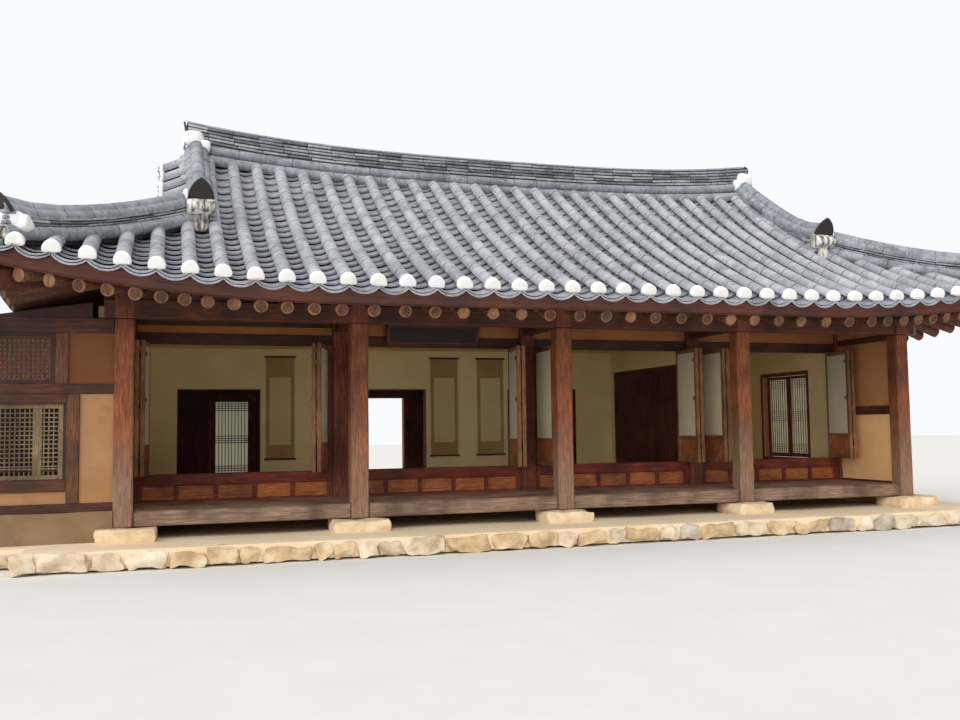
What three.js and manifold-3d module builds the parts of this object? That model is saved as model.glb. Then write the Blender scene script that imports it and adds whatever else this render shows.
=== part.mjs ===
// A Korean hanok: a timber-framed house of four bays with an open veranda, a hip-and-gable
// tiled roof and a low lean-to annex under its left eave. Millimetres, +Z up, +X to the right
// along the front, +Y into the house. The origin lies on the plinth's underside, in the middle
// of the front column line.

import * as THREE from "three";
import { mergeVertices } from "three/addons/utils/BufferGeometryUtils.js";
import Module from "manifold-3d";

const wasm = await Module();
wasm.setup();

// Driving dimensions, in millimetres.
const bay = 2400;
const bayCount = 4;
const verandaDepth = 1200;
const innerWallY = 3650;
const houseDepth = 4950;
const columnSide = 190;
const plinthHeight = 200;
const plinthReach = 950;
const stoneHeight = 120;
const columnHeight = 2105;
const wallThickness = 110;
const eaveOverhang = 1150;
const eaveTop = 2695;
const eaveEdge = 190;
const eaveSlope = 0.42;
const roofCurve = 0.0000406;
const cornerRise = 300;
const cornerReach = 3300;
const cornerFlare = 60;
const soffitSlope = 0.4;
const gableX = 4200;
const gableWall = 50;
const ridgeHalfWidth = 150;
const rafterRadius = 66;
const rafterPitch = 290;
const rafterSides = 6;
const annexBay = 2400;
const annexDepth = 3600;
const annexSlope = 0.12;
const annexReach = 450;
const gap = 0.3;

// Levels and lines worked out from them.
const halfLength = (bay * bayCount) / 2;
const footZ = plinthHeight + stoneHeight;
const columnTop = footZ + columnHeight;
const floorTop = footZ + 156;
const roomFloorTop = footZ + 176;
const sillTop = footZ + 467;
const headerBottom = footZ + 1955;
const headerTop = footZ + 2090;
const innerDoorTop = footZ + 1533;
const backDoorTop = footZ + 1440;
const midY = houseDepth / 2;
const eaveHalfX = halfLength + eaveOverhang;
const eaveHalfY = midY + eaveOverhang;
const halfColumn = columnSide / 2;
const halfWall = wallThickness / 2;
const columnLines = Array.from({ length: bayCount + 1 }, (_, i) => i * bay - halfLength);

const finishes = {
  oldWood: { color: 0x6b4a3c, roughness: 0.8 },
  paleWood: { color: 0x8a6a55, roughness: 0.8 },
  plaster: { color: 0xd8cbb0, roughness: 0.95 },
  ochre: { color: 0xb98a4f, roughness: 0.95 },
  tile: { color: 0x7c8388, roughness: 0.85 },
  stone: { color: 0xb9b2a6, roughness: 0.95 },
  paper: { color: 0xe4dccb, roughness: 0.9 },
  board: { color: 0x1f1c1b, roughness: 0.6 },
};

// Solids

function fromGeometry(geometry) {
  const bare = geometry.index ? geometry.toNonIndexed() : geometry.clone();
  for (const name of Object.keys(bare.attributes)) {
    if (name !== "position") bare.deleteAttribute(name);
  }
  const merged = mergeVertices(bare, 1e-4);
  return new wasm.Manifold(
    new wasm.Mesh({
      numProp: 3,
      vertProperties: new Float32Array(merged.attributes.position.array),
      triVerts: new Uint32Array(merged.index.array),
    }),
  );
}

function box(x0, x1, y0, y1, z0, z1) {
  const geometry = new THREE.BoxGeometry(x1 - x0, y1 - y0, z1 - z0);
  geometry.translate((x0 + x1) / 2, (y0 + y1) / 2, (z0 + z1) / 2);
  return fromGeometry(geometry);
}

function union(solids) {
  return solids.reduce((sum, solid) => sum.add(solid));
}

// The largest shell of a solid: it closes pockets and drops crumbs that a cut leaves.
function mainShell(solid) {
  return solid.decompose().reduce((best, shell) => (shell.volume() > best.volume() ? shell : best));
}

// Cuts a solid clear of a neighbour above it (up = -1) or below it (up = 1), and beside it.
function clearOf(solid, neighbour, up) {
  const shifts = [
    [0, 0],
    [gap, 0],
    [-gap, 0],
    [0, gap],
    [0, -gap],
  ];
  return shifts.reduce((rest, [x, y]) => rest.subtract(neighbour.translate(x, y, up * gap)), solid);
}

// The height at which something under a solid touches it, within a plan rectangle.
function seatUnder(solid, x0, x1, y0, y1) {
  return solid.intersect(box(x0, x1, y0, y1, 0, 6000)).boundingBox().min[2] - gap;
}

// The height at which something over a solid touches it, within a plan rectangle.
function seatOver(solid, x0, x1, y0, y1) {
  return solid.intersect(box(x0, x1, y0, y1, 0, 6000)).boundingBox().max[2] + gap;
}

function log(start, end, radius) {
  const along = end.clone().sub(start);
  const geometry = new THREE.CylinderGeometry(radius, radius, along.length(), rafterSides);
  const turn = new THREE.Quaternion();
  turn.setFromUnitVectors(new THREE.Vector3(0, 1, 0), along.clone().normalize());
  geometry.applyQuaternion(turn);
  const middle = start.clone().add(end).multiplyScalar(0.5);
  geometry.translate(middle.x, middle.y, middle.z);
  return fromGeometry(geometry);
}

// A squared beam between two points, with its sides upright.
function beam(start, end, width, height) {
  const along = end.clone().sub(start);
  const level = Math.hypot(along.x, along.y);
  const geometry = new THREE.BoxGeometry(along.length(), width, height);
  geometry.rotateY(-Math.atan2(along.z, level));
  geometry.rotateZ(Math.atan2(along.y, along.x));
  const middle = start.clone().add(end).multiplyScalar(0.5);
  geometry.translate(middle.x, middle.y, middle.z);
  return fromGeometry(geometry);
}

// An outline in the X-Z plane, given a thickness from y0 to y1.
function frontPlate(points, y0, y1) {
  const shape = new THREE.Shape(points.map(([x, z]) => new THREE.Vector2(x, z)));
  const geometry = new THREE.ExtrudeGeometry(shape, { depth: y1 - y0, bevelEnabled: false });
  geometry.rotateX(Math.PI / 2);
  geometry.translate(0, y1, 0);
  return fromGeometry(geometry);
}

// An outline in the Y-Z plane, given a thickness from x0 to x1.
function sidePlate(points, x0, x1) {
  const shape = new THREE.Shape(points.map(([y, z]) => new THREE.Vector2(y, z)));
  const geometry = new THREE.ExtrudeGeometry(shape, { depth: x1 - x0, bevelEnabled: false });
  geometry.rotateX(Math.PI / 2);
  geometry.rotateZ(Math.PI / 2);
  geometry.translate(x0, 0, 0);
  return fromGeometry(geometry);
}

// A slab between two heights over a grid of plan points. Each row of the grid is one value of
// t, the level distance in from the eave.
function gridSlab(columns, rows, place, top, bottom) {
  const vertices = [];
  const triangles = [];
  const layer = (columns + 1) * rows.length;
  for (const height of [top, bottom]) {
    for (const t of rows) {
      for (let i = 0; i <= columns; i += 1) {
        const [x, y, along] = place((i / columns) * 2 - 1, t);
        vertices.push(x, y, height(along, t));
      }
    }
  }
  const at = (i, j, level) => level * layer + j * (columns + 1) + i;
  const quad = (a, b, c, d) => triangles.push(a, b, c, a, c, d);
  const lastRow = rows.length - 1;
  for (let j = 0; j < lastRow; j += 1) {
    for (let i = 0; i < columns; i += 1) {
      const upper = [at(i, j, 0), at(i + 1, j, 0), at(i + 1, j + 1, 0), at(i, j + 1, 0)];
      const lower = [at(i, j, 1), at(i, j + 1, 1), at(i + 1, j + 1, 1), at(i + 1, j, 1)];
      // The two halves of the grid are split along mirrored diagonals.
      const turn = i < columns / 2 ? 0 : 1;
      for (const [a, b, c, d] of [upper, lower]) quad(...(turn ? [b, c, d, a] : [a, b, c, d]));
    }
    quad(at(0, j, 0), at(0, j + 1, 0), at(0, j + 1, 1), at(0, j, 1));
    quad(at(columns, j, 1), at(columns, j + 1, 1), at(columns, j + 1, 0), at(columns, j, 0));
  }
  for (let i = 0; i < columns; i += 1) {
    quad(at(i, 0, 1), at(i + 1, 0, 1), at(i + 1, 0, 0), at(i, 0, 0));
    quad(at(i, lastRow, 0), at(i + 1, lastRow, 0), at(i + 1, lastRow, 1), at(i, lastRow, 1));
  }
  return new wasm.Manifold(
    new wasm.Mesh({
      numProp: 3,
      vertProperties: new Float32Array(vertices),
      triVerts: new Uint32Array(triangles),
    }),
  );
}

const mirrorX = (solid) => solid.mirror([1, 0, 0]);
const mirrorY = (solid) => solid.mirror([0, 1, 0]).translate(0, houseDepth, 0);

// The roof's surface: t is the level distance in from the eave, and d is the distance along
// the eave from the nearest corner.

const topRun = eaveHalfY - ridgeHalfWidth;
const soffitBreak = eaveOverhang + verandaDepth;
const hipRun = eaveHalfX - gableX;
const skirtRun = hipRun - gableWall - gap;

function riseAt(d, t) {
  const along = Math.max(0, 1 - Math.max(0, d) / cornerReach);
  const inward = Math.max(0, 1 - Math.max(0, t) / 2600);
  return cornerRise * along ** 2.2 * inward;
}

function topHeight(d, t) {
  return eaveTop + riseAt(d, t) + eaveSlope * t + roofCurve * t * t;
}

function soffitHeight(d, t) {
  const start = eaveTop - eaveEdge;
  if (t <= soffitBreak) return start + riseAt(d, t) + soffitSlope * t;
  const low = start + soffitSlope * soffitBreak;
  const high = topHeight(cornerReach, topRun) - 250;
  return low + riseAt(d, t) + ((high - low) * (t - soffitBreak)) / (topRun - soffitBreak);
}

const flareAt = (d, t) => {
  const along = Math.max(0, 1 - d / cornerReach);
  return cornerFlare * along ** 2 * Math.max(0, 1 - t / 600);
};

function frontPlace(u, t) {
  const x = u * Math.max(eaveHalfX - t, gableX);
  const d = eaveHalfX - Math.abs(x);
  return [x, t - eaveOverhang - flareAt(d, t), d];
}

function sidePlace(u, t) {
  const y = midY + u * (eaveHalfY - t - 2 * gap);
  const d = eaveHalfY - Math.abs(y - midY);
  return [eaveHalfX - t + flareAt(d, t), y, d];
}

// The sheathing under a slope shares the slope's grid, up to its own inner edge.
const sideRun = eaveOverhang + 70;
const frontRun = soffitBreak - 60;
const eaveRows = [110, 400, 900, sideRun];
const deepEaveRows = [...eaveRows, hipRun, frontRun];
const slopeRows = [0, ...deepEaveRows, soffitBreak, 2900, topRun - gap];
const skirtRows = [0, ...eaveRows, skirtRun];
const slopeColumns = 24;
const skirtColumns = 14;
const frontSlope = gridSlab(slopeColumns, slopeRows, frontPlace, topHeight, soffitHeight);
// The side skirt's grid runs back along +Y, as the front's runs along +X.
const rightSkirt = gridSlab(skirtColumns, skirtRows, sidePlace, topHeight, soffitHeight);

// The rows of cover tiles stand on the slopes as plain ribs, clear of the ridges.

const tilePitch = 298;
const frontTileShift = -21;
const rowHalf = 74;
const rowHeight = 64;
const rowSink = 20;
const rowStart = 15;
const rowBreaks = [900, hipRun, 2600];
const hipClearance = 285;
const fallBand = [3750, 4250];
const fallFoot = 1480;
const bargeFoot = 1430;
const bargeReach = 1200;

// place(t, across) gives the plan point and d at a distance across the row's middle.
function tileRow(end, place) {
  const runs = [rowStart, ...rowBreaks.filter((t) => t < end - 150), end];
  const at = (u, t) => {
    const [x, y, d] = place(t, u * rowHalf);
    return [x, y, { d, crown: Math.abs(u) < 0.5 }];
  };
  const top = ({ d, crown }, t) => topHeight(d, t) + (crown ? rowHeight : -rowSink);
  const bottom = ({ d }, t) => topHeight(d, t) - rowSink - 12;
  return gridSlab(3, runs, at, top, bottom);
}

function frontTileRows() {
  const rows = [];
  const count = Math.floor(eaveHalfX / tilePitch);
  for (let k = -count; k <= count; k += 1) {
    const middle = k * tilePitch + frontTileShift;
    const reach = Math.abs(middle);
    let end = Math.min(topRun - 40, eaveHalfX - reach - hipClearance);
    if (reach < fallBand[0]) end = topRun - 40;
    else if (reach < fallBand[1]) end = Math.min(end, fallFoot);
    if (end < 250) continue;
    const place = (t, across) => {
      const x = middle + across;
      const d = eaveHalfX - Math.abs(x);
      return [x, t - eaveOverhang - flareAt(d, t), d];
    };
    rows.push(tileRow(end, place));
  }
  return union(rows);
}

function sideTileRows() {
  const rows = [];
  const count = Math.floor(eaveHalfY / tilePitch);
  for (let k = -count; k <= count; k += 1) {
    const reach = Math.abs(k * tilePitch);
    const inner = reach < bargeReach ? skirtRun - 60 : bargeFoot;
    const end = Math.min(inner, eaveHalfY - reach - hipClearance);
    if (end < 250) continue;
    const place = (t, across) => {
      const d = eaveHalfY - Math.abs(k * tilePitch + across);
      return [eaveHalfX - t + flareAt(d, t), midY + k * tilePitch + across, d];
    };
    rows.push(tileRow(end, place));
  }
  return union(rows);
}

// Eaves: a sheathing of boards over the round rafters that carry it.

const rafterEndRun = 95;
const sheathing = 64;
const rafterDrop = 30;
const sheathingInset = 60;
const eaveStraight = halfLength - 500;

// One rafter each way from the middle of a side: where it starts at the eave, where its inner
// end is, and how far in that lies. Past the last straight one they fan out to the corner.
function rafterLines(half, straight, innerRun) {
  const lines = [];
  const count = Math.floor((half - 260) / rafterPitch);
  for (let k = -count; k <= count; k += 1) {
    const outer = k * rafterPitch;
    const beyond = Math.max(0, Math.abs(outer) - straight);
    const inner = Math.sign(outer) * (Math.abs(outer) - beyond * 0.72);
    const run = beyond > 0 ? sideRun : innerRun;
    lines.push([outer, inner, run]);
  }
  return lines;
}

function rafters(half, straight, innerRun, toPlan) {
  const logs = [];
  for (const [outer, inner, run] of rafterLines(half, straight, innerRun)) {
    const [x0, y0] = toPlan(outer, rafterEndRun - flareAt(half - Math.abs(outer), 0));
    const [x1, y1] = toPlan(inner, run);
    const z0 = soffitHeight(half - Math.abs(outer), rafterEndRun) - rafterRadius - rafterDrop;
    const z1 = soffitHeight(half - Math.abs(inner), run) - rafterRadius - rafterDrop;
    logs.push(log(new THREE.Vector3(x0, y0, z0), new THREE.Vector3(x1, y1, z1), rafterRadius));
  }
  return union(logs);
}

function sheathingBoards(columns, rows, place) {
  const top = (d, t) => soffitHeight(d, t) - gap;
  const bottom = (d, t) => soffitHeight(d, t) - sheathing;
  return gridSlab(columns, rows, place, top, bottom);
}

// Keeps what lies between the two diagonals under the front hips, drawn in by an inset.
function betweenHips(solid, inset) {
  const offset = (inset - halfLength) * Math.SQRT1_2;
  return solid
    .trimByPlane([-Math.SQRT1_2, -Math.SQRT1_2, 0], offset)
    .trimByPlane([Math.SQRT1_2, -Math.SQRT1_2, 0], offset);
}

const hipWidth = 170;
const hipDepth = 140;
const hipDrop = 110;
const hipOuter = new THREE.Vector3(eaveHalfX - 80, 80 - eaveOverhang, 0);
const hipInner = new THREE.Vector3(halfLength - 250, 250, 0);
hipOuter.z = soffitHeight(80, 80) - hipDrop - hipDepth / 2;
hipInner.z = soffitHeight(1400, 1400) - hipDrop - hipDepth / 2;
const rightHip = beam(hipOuter, hipInner, hipWidth, hipDepth);

function frontEave(rows) {
  const boards = sheathingBoards(slopeColumns, rows, frontPlace);
  const toPlan = (along, run) => [along, run - eaveOverhang];
  const logs = rafters(eaveHalfX, eaveStraight, rows.at(-1) - 30, toPlan);
  const bed = union([betweenHips(boards, sheathingInset), betweenHips(logs, 0)]);
  return union([bed, rightHip, mirrorX(rightHip)]);
}

function rightEave() {
  const boards = sheathingBoards(skirtColumns, eaveRows, sidePlace);
  const toPlan = (along, run) => [eaveHalfX - run, midY + along];
  const clear = halfLength * Math.SQRT1_2 + hipWidth / 2 + gap;
  return union([boards, rafters(eaveHalfY, midY - 500, sideRun, toPlan)])
    .trimByPlane([Math.SQRT1_2, Math.SQRT1_2, 0], clear)
    .trimByPlane([Math.SQRT1_2, -Math.SQRT1_2, 0], clear - houseDepth * Math.SQRT1_2);
}

// Ridges

const ridgeEnd = 4235;
const ridgeFoot = topHeight(cornerReach, topRun) - 250;
const ridgeTop = (x) => footZ + 4755 + 215 * (Math.abs(x) / 4150) ** 3;

function mainRidge() {
  const top = [];
  const steps = 16;
  for (let i = steps; i >= 0; i -= 1) {
    const x = ((i / steps) * 2 - 1) * ridgeEnd;
    top.push([x, ridgeTop(x)]);
  }
  const shoulder = vergeTop + 12;
  const under = [
    [-ridgeEnd, shoulder],
    [-gableX, shoulder],
    [-gableX, ridgeFoot],
    [gableX, ridgeFoot],
    [gableX, shoulder],
    [ridgeEnd, shoulder],
  ];
  return frontPlate([...under, ...top], midY - ridgeHalfWidth, midY + ridgeHalfWidth);
}

const descendX = 4000;
const descendHalf = 130;
const hipRidgeHalf = 120;

// The height that touches the top of some solids, within a square round a plan point.
function seatAt(solids, x, y, reach) {
  const post = box(x - reach, x + reach, y - reach, y + reach, 0, 6000);
  const met = solids.map((solid) => solid.intersect(post)).filter((part) => !part.isEmpty());
  return Math.max(...met.map((part) => part.boundingBox().max[2])) + gap;
}

function rightFrontRidge(gable) {
  const lines = [2324, 1900, 1400, 1000, 640, 420];
  const heights = [385, 370, 360, 370, 430, 520];
  const surface = (y) => topHeight(cornerReach, y + eaveOverhang);
  const top = lines.map((y, i) => [y, surface(y) + heights[i]]);
  const outerX = descendX + descendHalf - 1;
  const bottom = lines.map((y) => [y, seatAt([frontSlope], outerX, y, 1)]).reverse();
  const outline = [...top, ...bottom].reverse();
  const descend = sidePlate(outline, descendX - descendHalf, descendX + descendHalf);

  const runs = [120, 200, 300, 450, 600, 900, 1200, 1600, 1700, 1880];
  const rises = [405, 375, 355, 345, 337, 337, 341, 350, 353, 355];
  const slabs = [frontSlope, rightSkirt, gable];
  const reach = (t) => (t < 900 ? 60 : t < 1650 ? 2 : 90);
  const hipSeat = (t) => seatAt(slabs, eaveHalfX - t, t - eaveOverhang, reach(t));
  const hipTop = runs.map((t, i) => [t * Math.SQRT2, topHeight(t, t) + rises[i]]);
  const hipBottom = runs.map((t) => [t * Math.SQRT2, hipSeat(t)]).reverse();
  const hip = frontPlate([...hipTop, ...hipBottom].reverse(), -hipRidgeHalf, hipRidgeHalf)
    .rotate([0, 0, 135])
    .translate(eaveHalfX, -eaveOverhang, 0);
  return union([descend, hip]);
}

// Gables: a wall set in the end of the roof, the overhanging verge and its bargeboards.

const vergeReach = 250;
const vergeTop = topHeight(cornerReach, topRun) + 20;

function gableBand(startRun, above, depth) {
  const runs = [startRun, 2100, 2500, 2900, 3200, topRun];
  const level = (t) => Math.min(topHeight(cornerReach, t) + above, vergeTop + above);
  const front = runs.map((t) => [t - eaveOverhang, level(t)]);
  const apex = [midY, vergeTop + above];
  const back = front.map(([y, z]) => [houseDepth - y, z]).reverse();
  const top = [...front, apex, ...back];
  const bottom = top.map(([y, z]) => [y, z - depth]).reverse();
  return [...top, ...bottom].reverse();
}

function rightGable() {
  const y0 = hipRun - eaveOverhang + 2 * gap;
  const base = soffitHeight(cornerReach, hipRun) - 20;
  const runs = [hipRun + 2 * gap, 2100, 2500, 2900, 3200, topRun];
  const front = runs.map((t) => [t - eaveOverhang, topHeight(cornerReach, t) - 5]);
  const back = front.map(([y, z]) => [houseDepth - y, z]);
  const foot = [
    [y0, base],
    [houseDepth - y0, base],
  ];
  const outline = [...foot, ...back, [midY, vergeTop], ...front.reverse()];
  const wall = sidePlate(outline, gableX + gap, gableX + gableWall);
  const overSkirt = (above, depth, x0, x1) => {
    const seat = seatOver(rightSkirt, x0, x1, 700, houseDepth - 700);
    return sidePlate(gableBand(1900, above, depth), x0, x1).trimByPlane([0, 0, 1], seat);
  };
  const verge = overSkirt(0, 120, gableX + gableWall - 1, gableX + vergeReach);
  const barge = overSkirt(-8, 330, gableX + vergeReach - 40, gableX + vergeReach + 2);
  return union([wall, verge, barge]);
}

// Base, frame, floors

function plinth() {
  const x1 = halfLength + plinthReach;
  const slab = box(-x1, x1, -plinthReach, houseDepth + plinthReach, 0, plinthHeight);
  const annexEnd = -halfLength - annexBay - annexReach;
  const annexSide = box(annexEnd, -x1 + 10, -annexReach, annexDepth + annexReach, 0, plinthHeight);
  const stones = columnLines.map((x) => {
    const stone = new THREE.CylinderGeometry(290, 330, stoneHeight + 10, 8);
    stone.rotateX(Math.PI / 2);
    stone.rotateZ(Math.PI / 8);
    stone.translate(x, 0, plinthHeight + stoneHeight / 2 - 5);
    return fromGeometry(stone);
  });
  return union([slab, annexSide, ...stones]);
}

function frontColumn(x) {
  return box(x - halfColumn, x + halfColumn, -halfColumn, halfColumn, footZ + gap, columnTop - gap);
}

const purlinEnd = halfLength + 300;
const straightHalf = 1500;

function frontPurlin(rafterBed) {
  const top = seatUnder(rafterBed, -straightHalf, straightHalf, -halfColumn, halfColumn);
  const purlin = box(-purlinEnd, purlinEnd, -halfColumn, halfColumn, columnTop, top);
  return clearOf(clearOf(purlin, rightHip, -1), mirrorX(rightHip), -1);
}

const insideX = halfLength - halfWall - gap;
const frameHalf = 50;
const jambReach = 160;

function innerFrame() {
  const y = verandaDepth;
  const y0 = y - frameHalf;
  const y1 = y + frameHalf;
  const sill = box(-insideX, insideX, y0, y1, footZ + 1, sillTop);
  const header = box(-insideX, insideX, y0, y1, headerBottom, headerTop);
  const posts = columnLines.map((x) => {
    const x0 = Math.max(x - halfColumn, -insideX);
    const x1 = Math.min(x + halfColumn, insideX);
    return box(x0, x1, y - halfColumn, y + halfColumn, plinthHeight + gap, columnTop - 1);
  });
  const jambs = columnLines.map((x) => {
    const x0 = Math.max(x - jambReach, -insideX);
    const x1 = Math.min(x + jambReach, insideX);
    return box(x0, x1, y0, y1, footZ + 1, headerTop);
  });
  const shoulder = 3138;
  const upper = frontPlate(
    [
      [-insideX + 20, headerTop - 10],
      [insideX - 20, headerTop - 10],
      [insideX - 20, shoulder - 175],
      [gableX + gableWall + 5, shoulder],
      [gableX - 2, shoulder],
      [gableX - 2, shoulder + 285],
      [-gableX + 2, shoulder + 285],
      [-gableX + 2, shoulder],
      [-gableX - gableWall - 5, shoulder],
      [-insideX + 20, shoulder - 175],
    ],
    y - 35,
    y + 35,
  );
  return union([sill, header, ...posts, ...jambs, upper]);
}

function verandaFloor() {
  const back = verandaDepth - frameHalf - gap;
  const boards = box(-insideX, insideX, 40, back, floorTop - 30, floorTop);
  const edge = box(-insideX, insideX, -60, 60, footZ + 0.5, floorTop);
  const inner = columnLines.slice(1, -1);
  const joists = inner.map((x) => box(x - 50, x + 50, 50, back, footZ + 10, floorTop - 20));
  const grown = halfColumn + gap;
  const notch = box(-grown, grown, -grown, grown, footZ - 10, floorTop + 10);
  const columns = columnLines.map((x) => notch.translate(x, 0, 0));
  const posts = columns.map((post) => post.translate(0, verandaDepth, 0));
  return union([boards, edge, ...joists]).subtract(union([...columns, ...posts]));
}

function roomFloor() {
  const front = verandaDepth + halfColumn + gap;
  return box(-insideX, insideX, front, houseDepth - halfWall - gap, plinthHeight + gap, roomFloorTop);
}

function ceiling() {
  const front = verandaDepth + frameHalf + gap;
  return box(-insideX, insideX, front, houseDepth - halfWall - gap, columnTop, columnTop + 40);
}

// Walls. Door openings are given as [low, high] along the wall.

const wallFoot = plinthHeight + gap;
const backDoors = [
  [-3715, -3126],
  [-1680, -720],
];
const innerDoors = [
  [-4243, -3115],
  [-1820, -693],
  [600, 1735],
];
const sideDoor = { low: 1853, high: 2964, bottom: footZ + 434, top: footZ + 1693 };

// A pivot pin standing on a sill, under the leaf that turns on it.
const doorClearance = 6;
const hingeClearance = 9;
const pinInset = 8;
const doorFaceInset = 8;

function pivotPin(x, y, sill) {
  const rooted = 2;
  const rise = doorClearance - gap;
  const pin = new THREE.CylinderGeometry(6, 6, rise + rooted, 8);
  pin.rotateX(Math.PI / 2);
  pin.translate(x, y, sill + (rise - rooted) / 2);
  return fromGeometry(pin);
}

function backWall(rafterBed) {
  const x1 = halfLength + halfWall;
  const y0 = houseDepth - halfWall;
  const y1 = houseDepth + halfWall;
  const top = seatUnder(rafterBed, -straightHalf, straightHalf, y0, y1);
  const hip = mirrorY(rightHip);
  const wall = clearOf(clearOf(box(-x1, x1, y0, y1, wallFoot, top), hip, -1), mirrorX(hip), -1);
  const holes = backDoors.map(([a, b]) => box(a, b, y0 - 10, y1 + 10, roomFloorTop, backDoorTop));
  const pinX = backDoors[0][0] + hingeClearance + pinInset;
  const pin = pivotPin(pinX, y1 - doorFaceInset - pinInset, roomFloorTop);
  return wall.subtract(union(holes)).add(pin);
}

function innerBackWall() {
  const y0 = innerWallY - halfWall;
  const y1 = innerWallY + halfWall;
  const wall = box(-insideX, insideX, y0, y1, roomFloorTop + gap, columnTop - gap);
  const z0 = roomFloorTop - 10;
  const holes = innerDoors.map(([a, b]) => box(a, b, y0 - 10, y1 + 10, z0, innerDoorTop));
  return wall.subtract(union(holes));
}

function sideWall(rafterBed) {
  const x0 = halfLength - halfWall;
  const x1 = halfLength + halfWall;
  const y0 = halfColumn + gap;
  const y1 = houseDepth - halfWall - gap;
  const top = seatUnder(rafterBed, x0, x1, midY - 500, midY + 500);
  const wall = box(x0, x1, y0, y1, wallFoot, top);
  return clearOf(clearOf(wall, rightHip, -1), mirrorY(rightHip), -1);
}

function rightWall(rafterBed) {
  const { low, high, bottom, top } = sideDoor;
  const hole = box(halfLength - 100, halfLength + 100, low, high, bottom, top);
  const pinX = halfLength + halfWall - doorFaceInset - pinInset;
  const pinY = hingeClearance + pinInset;
  const pins = [pivotPin(pinX, low + pinY, bottom), pivotPin(pinX, high - pinY, bottom)];
  return sideWall(rafterBed).subtract(hole).add(union(pins));
}

function partition() {
  const x = columnLines[3];
  const y0 = verandaDepth + halfColumn + gap;
  const y1 = innerWallY - halfWall - gap;
  return box(x - 40, x + 40, y0, y1, roomFloorTop + gap, columnTop - gap);
}

// Doors. The folding doors stand folded in pairs at both sides of each bay.

const leafThickness = 45;
const leafGap = 15;
const pairThickness = 2 * leafThickness + leafGap;
const foldedLength = 545;
const pairTurns = {
  left: [3, 2, 2, 2],
  right: [18, 8, 2, 6],
};

// side is +1 for the pair at the bay's right column and -1 for the one at its left column.
function foldedPair(bayIndex, side) {
  const turn = side > 0 ? pairTurns.right[bayIndex] : pairTurns.left[bayIndex];
  const inset = side > 0 ? 145 : 108;
  const z0 = sillTop + 3;
  const z1 = headerBottom - 5;
  const outer = box(-leafThickness, 0, -foldedLength, 0, z0, z1);
  const inner = outer.translate(-leafThickness - leafGap, 0, 0);
  const hinges = [0.15, 0.5, 0.85].map((at) => {
    const z = z0 + (z1 - z0) * at;
    const y = -foldedLength + 5;
    return box(-leafThickness - leafGap - 1, -leafThickness + 1, y, y + 25, z - 40, z + 40);
  });
  const pair = union([outer, inner, ...hinges]).rotate([0, 0, -turn]);
  const placed = side > 0 ? pair : mirrorX(pair);
  const column = columnLines[bayIndex] + (side > 0 ? bay : 0);
  // A turned pair bears on the jamb's edge.
  const setBack = (jambReach - inset) * Math.sin(THREE.MathUtils.degToRad(turn));
  return placed.translate(column - side * inset, verandaDepth - frameHalf - gap - setBack, 0);
}

function backDoorLeaf() {
  const [a, b] = backDoors[0];
  const y1 = houseDepth + halfWall - doorFaceInset;
  const z0 = roomFloorTop + doorClearance;
  return box(a + hingeClearance, b - doorClearance, y1 - 40, y1, z0, backDoorTop - doorClearance);
}

function sideDoorLeaf(front) {
  const { low, high, bottom, top } = sideDoor;
  const middle = (low + high) / 2;
  const y0 = front ? low + hingeClearance : middle + doorClearance / 2;
  const y1 = front ? middle - doorClearance / 2 : high - hingeClearance;
  const x1 = halfLength + halfWall - doorFaceInset;
  return box(x1 - 36, x1, y0, y1, bottom + doorClearance, top - doorClearance);
}

// The annex under the left eave and its lean-to roof.

const annexX = -halfLength - annexBay;
const leanToX = -eaveHalfX - cornerFlare + 15;
const leanToEnd = annexX - 350;
const leanToTop = eaveTop - eaveEdge - 40;
const leanToThickness = 110;
const leanToUnder = (x) => leanToTop - leanToThickness - annexSlope * (leanToX - x);
const annexWindow = { left: -6760, right: -5360, bottom: footZ + 498, top: footZ + 1240 };
const annexGrille = { left: -6550, right: -5476, bottom: footZ + 1474, top: footZ + 1916 };

function annexFrontWall() {
  const left = annexX - halfWall;
  const column = -halfLength - halfColumn - gap;
  const outline = [
    [left, wallFoot],
    [column, wallFoot],
    [column, columnTop - gap],
    [-halfLength - 305, columnTop - gap],
    [-halfLength - 305, 2580],
    [leanToX + 5, 2440],
    [leanToX + 1, leanToUnder(leanToX + 1) - gap],
    [left, leanToUnder(left) - gap],
  ];
  const openings = [annexWindow, annexGrille];
  const holes = openings.map((w) => box(w.left, w.right, -100, 100, w.bottom, w.top));
  return frontPlate(outline, -halfWall, halfWall).subtract(union(holes));
}

function annexRearWalls() {
  const left = annexX - halfWall;
  const right = -halfLength - halfWall - gap;
  const outline = [
    [left, wallFoot],
    [right, wallFoot],
    [right, 2680],
    [leanToX + 5, 2345],
    [leanToX + 1, leanToUnder(leanToX + 1) - gap],
    [left, leanToUnder(left) - gap],
  ];
  const rear = frontPlate(outline, annexDepth - halfWall, annexDepth + halfWall);
  const sideTop = leanToUnder(left) - gap;
  const side = box(left, left + wallThickness, halfWall + gap, annexDepth, wallFoot, sideTop);
  return union([rear, side]);
}

function annexRoof() {
  const outline = [
    [leanToEnd, leanToUnder(leanToEnd)],
    [leanToX, leanToUnder(leanToX)],
    [leanToX, leanToTop],
    [leanToEnd, leanToUnder(leanToEnd) + leanToThickness],
  ];
  return frontPlate(outline, -300, annexDepth + 300);
}

function annexPanel(w, thickness) {
  const y = thickness / 2;
  return box(w.left + gap, w.right - gap, -y, y, w.bottom + gap, w.top - gap);
}

// The bare name board hangs over the second bay, leaning out.
function nameBoard() {
  const width = 1180;
  const height = 243;
  const board = box(-width / 2, width / 2, -45, 0, 0, height).rotate([12, 0, 0]);
  return board.translate(-1251, verandaDepth - frameHalf - gap, footZ + 1996);
}

// Assembly

const house = new THREE.Group();

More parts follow.
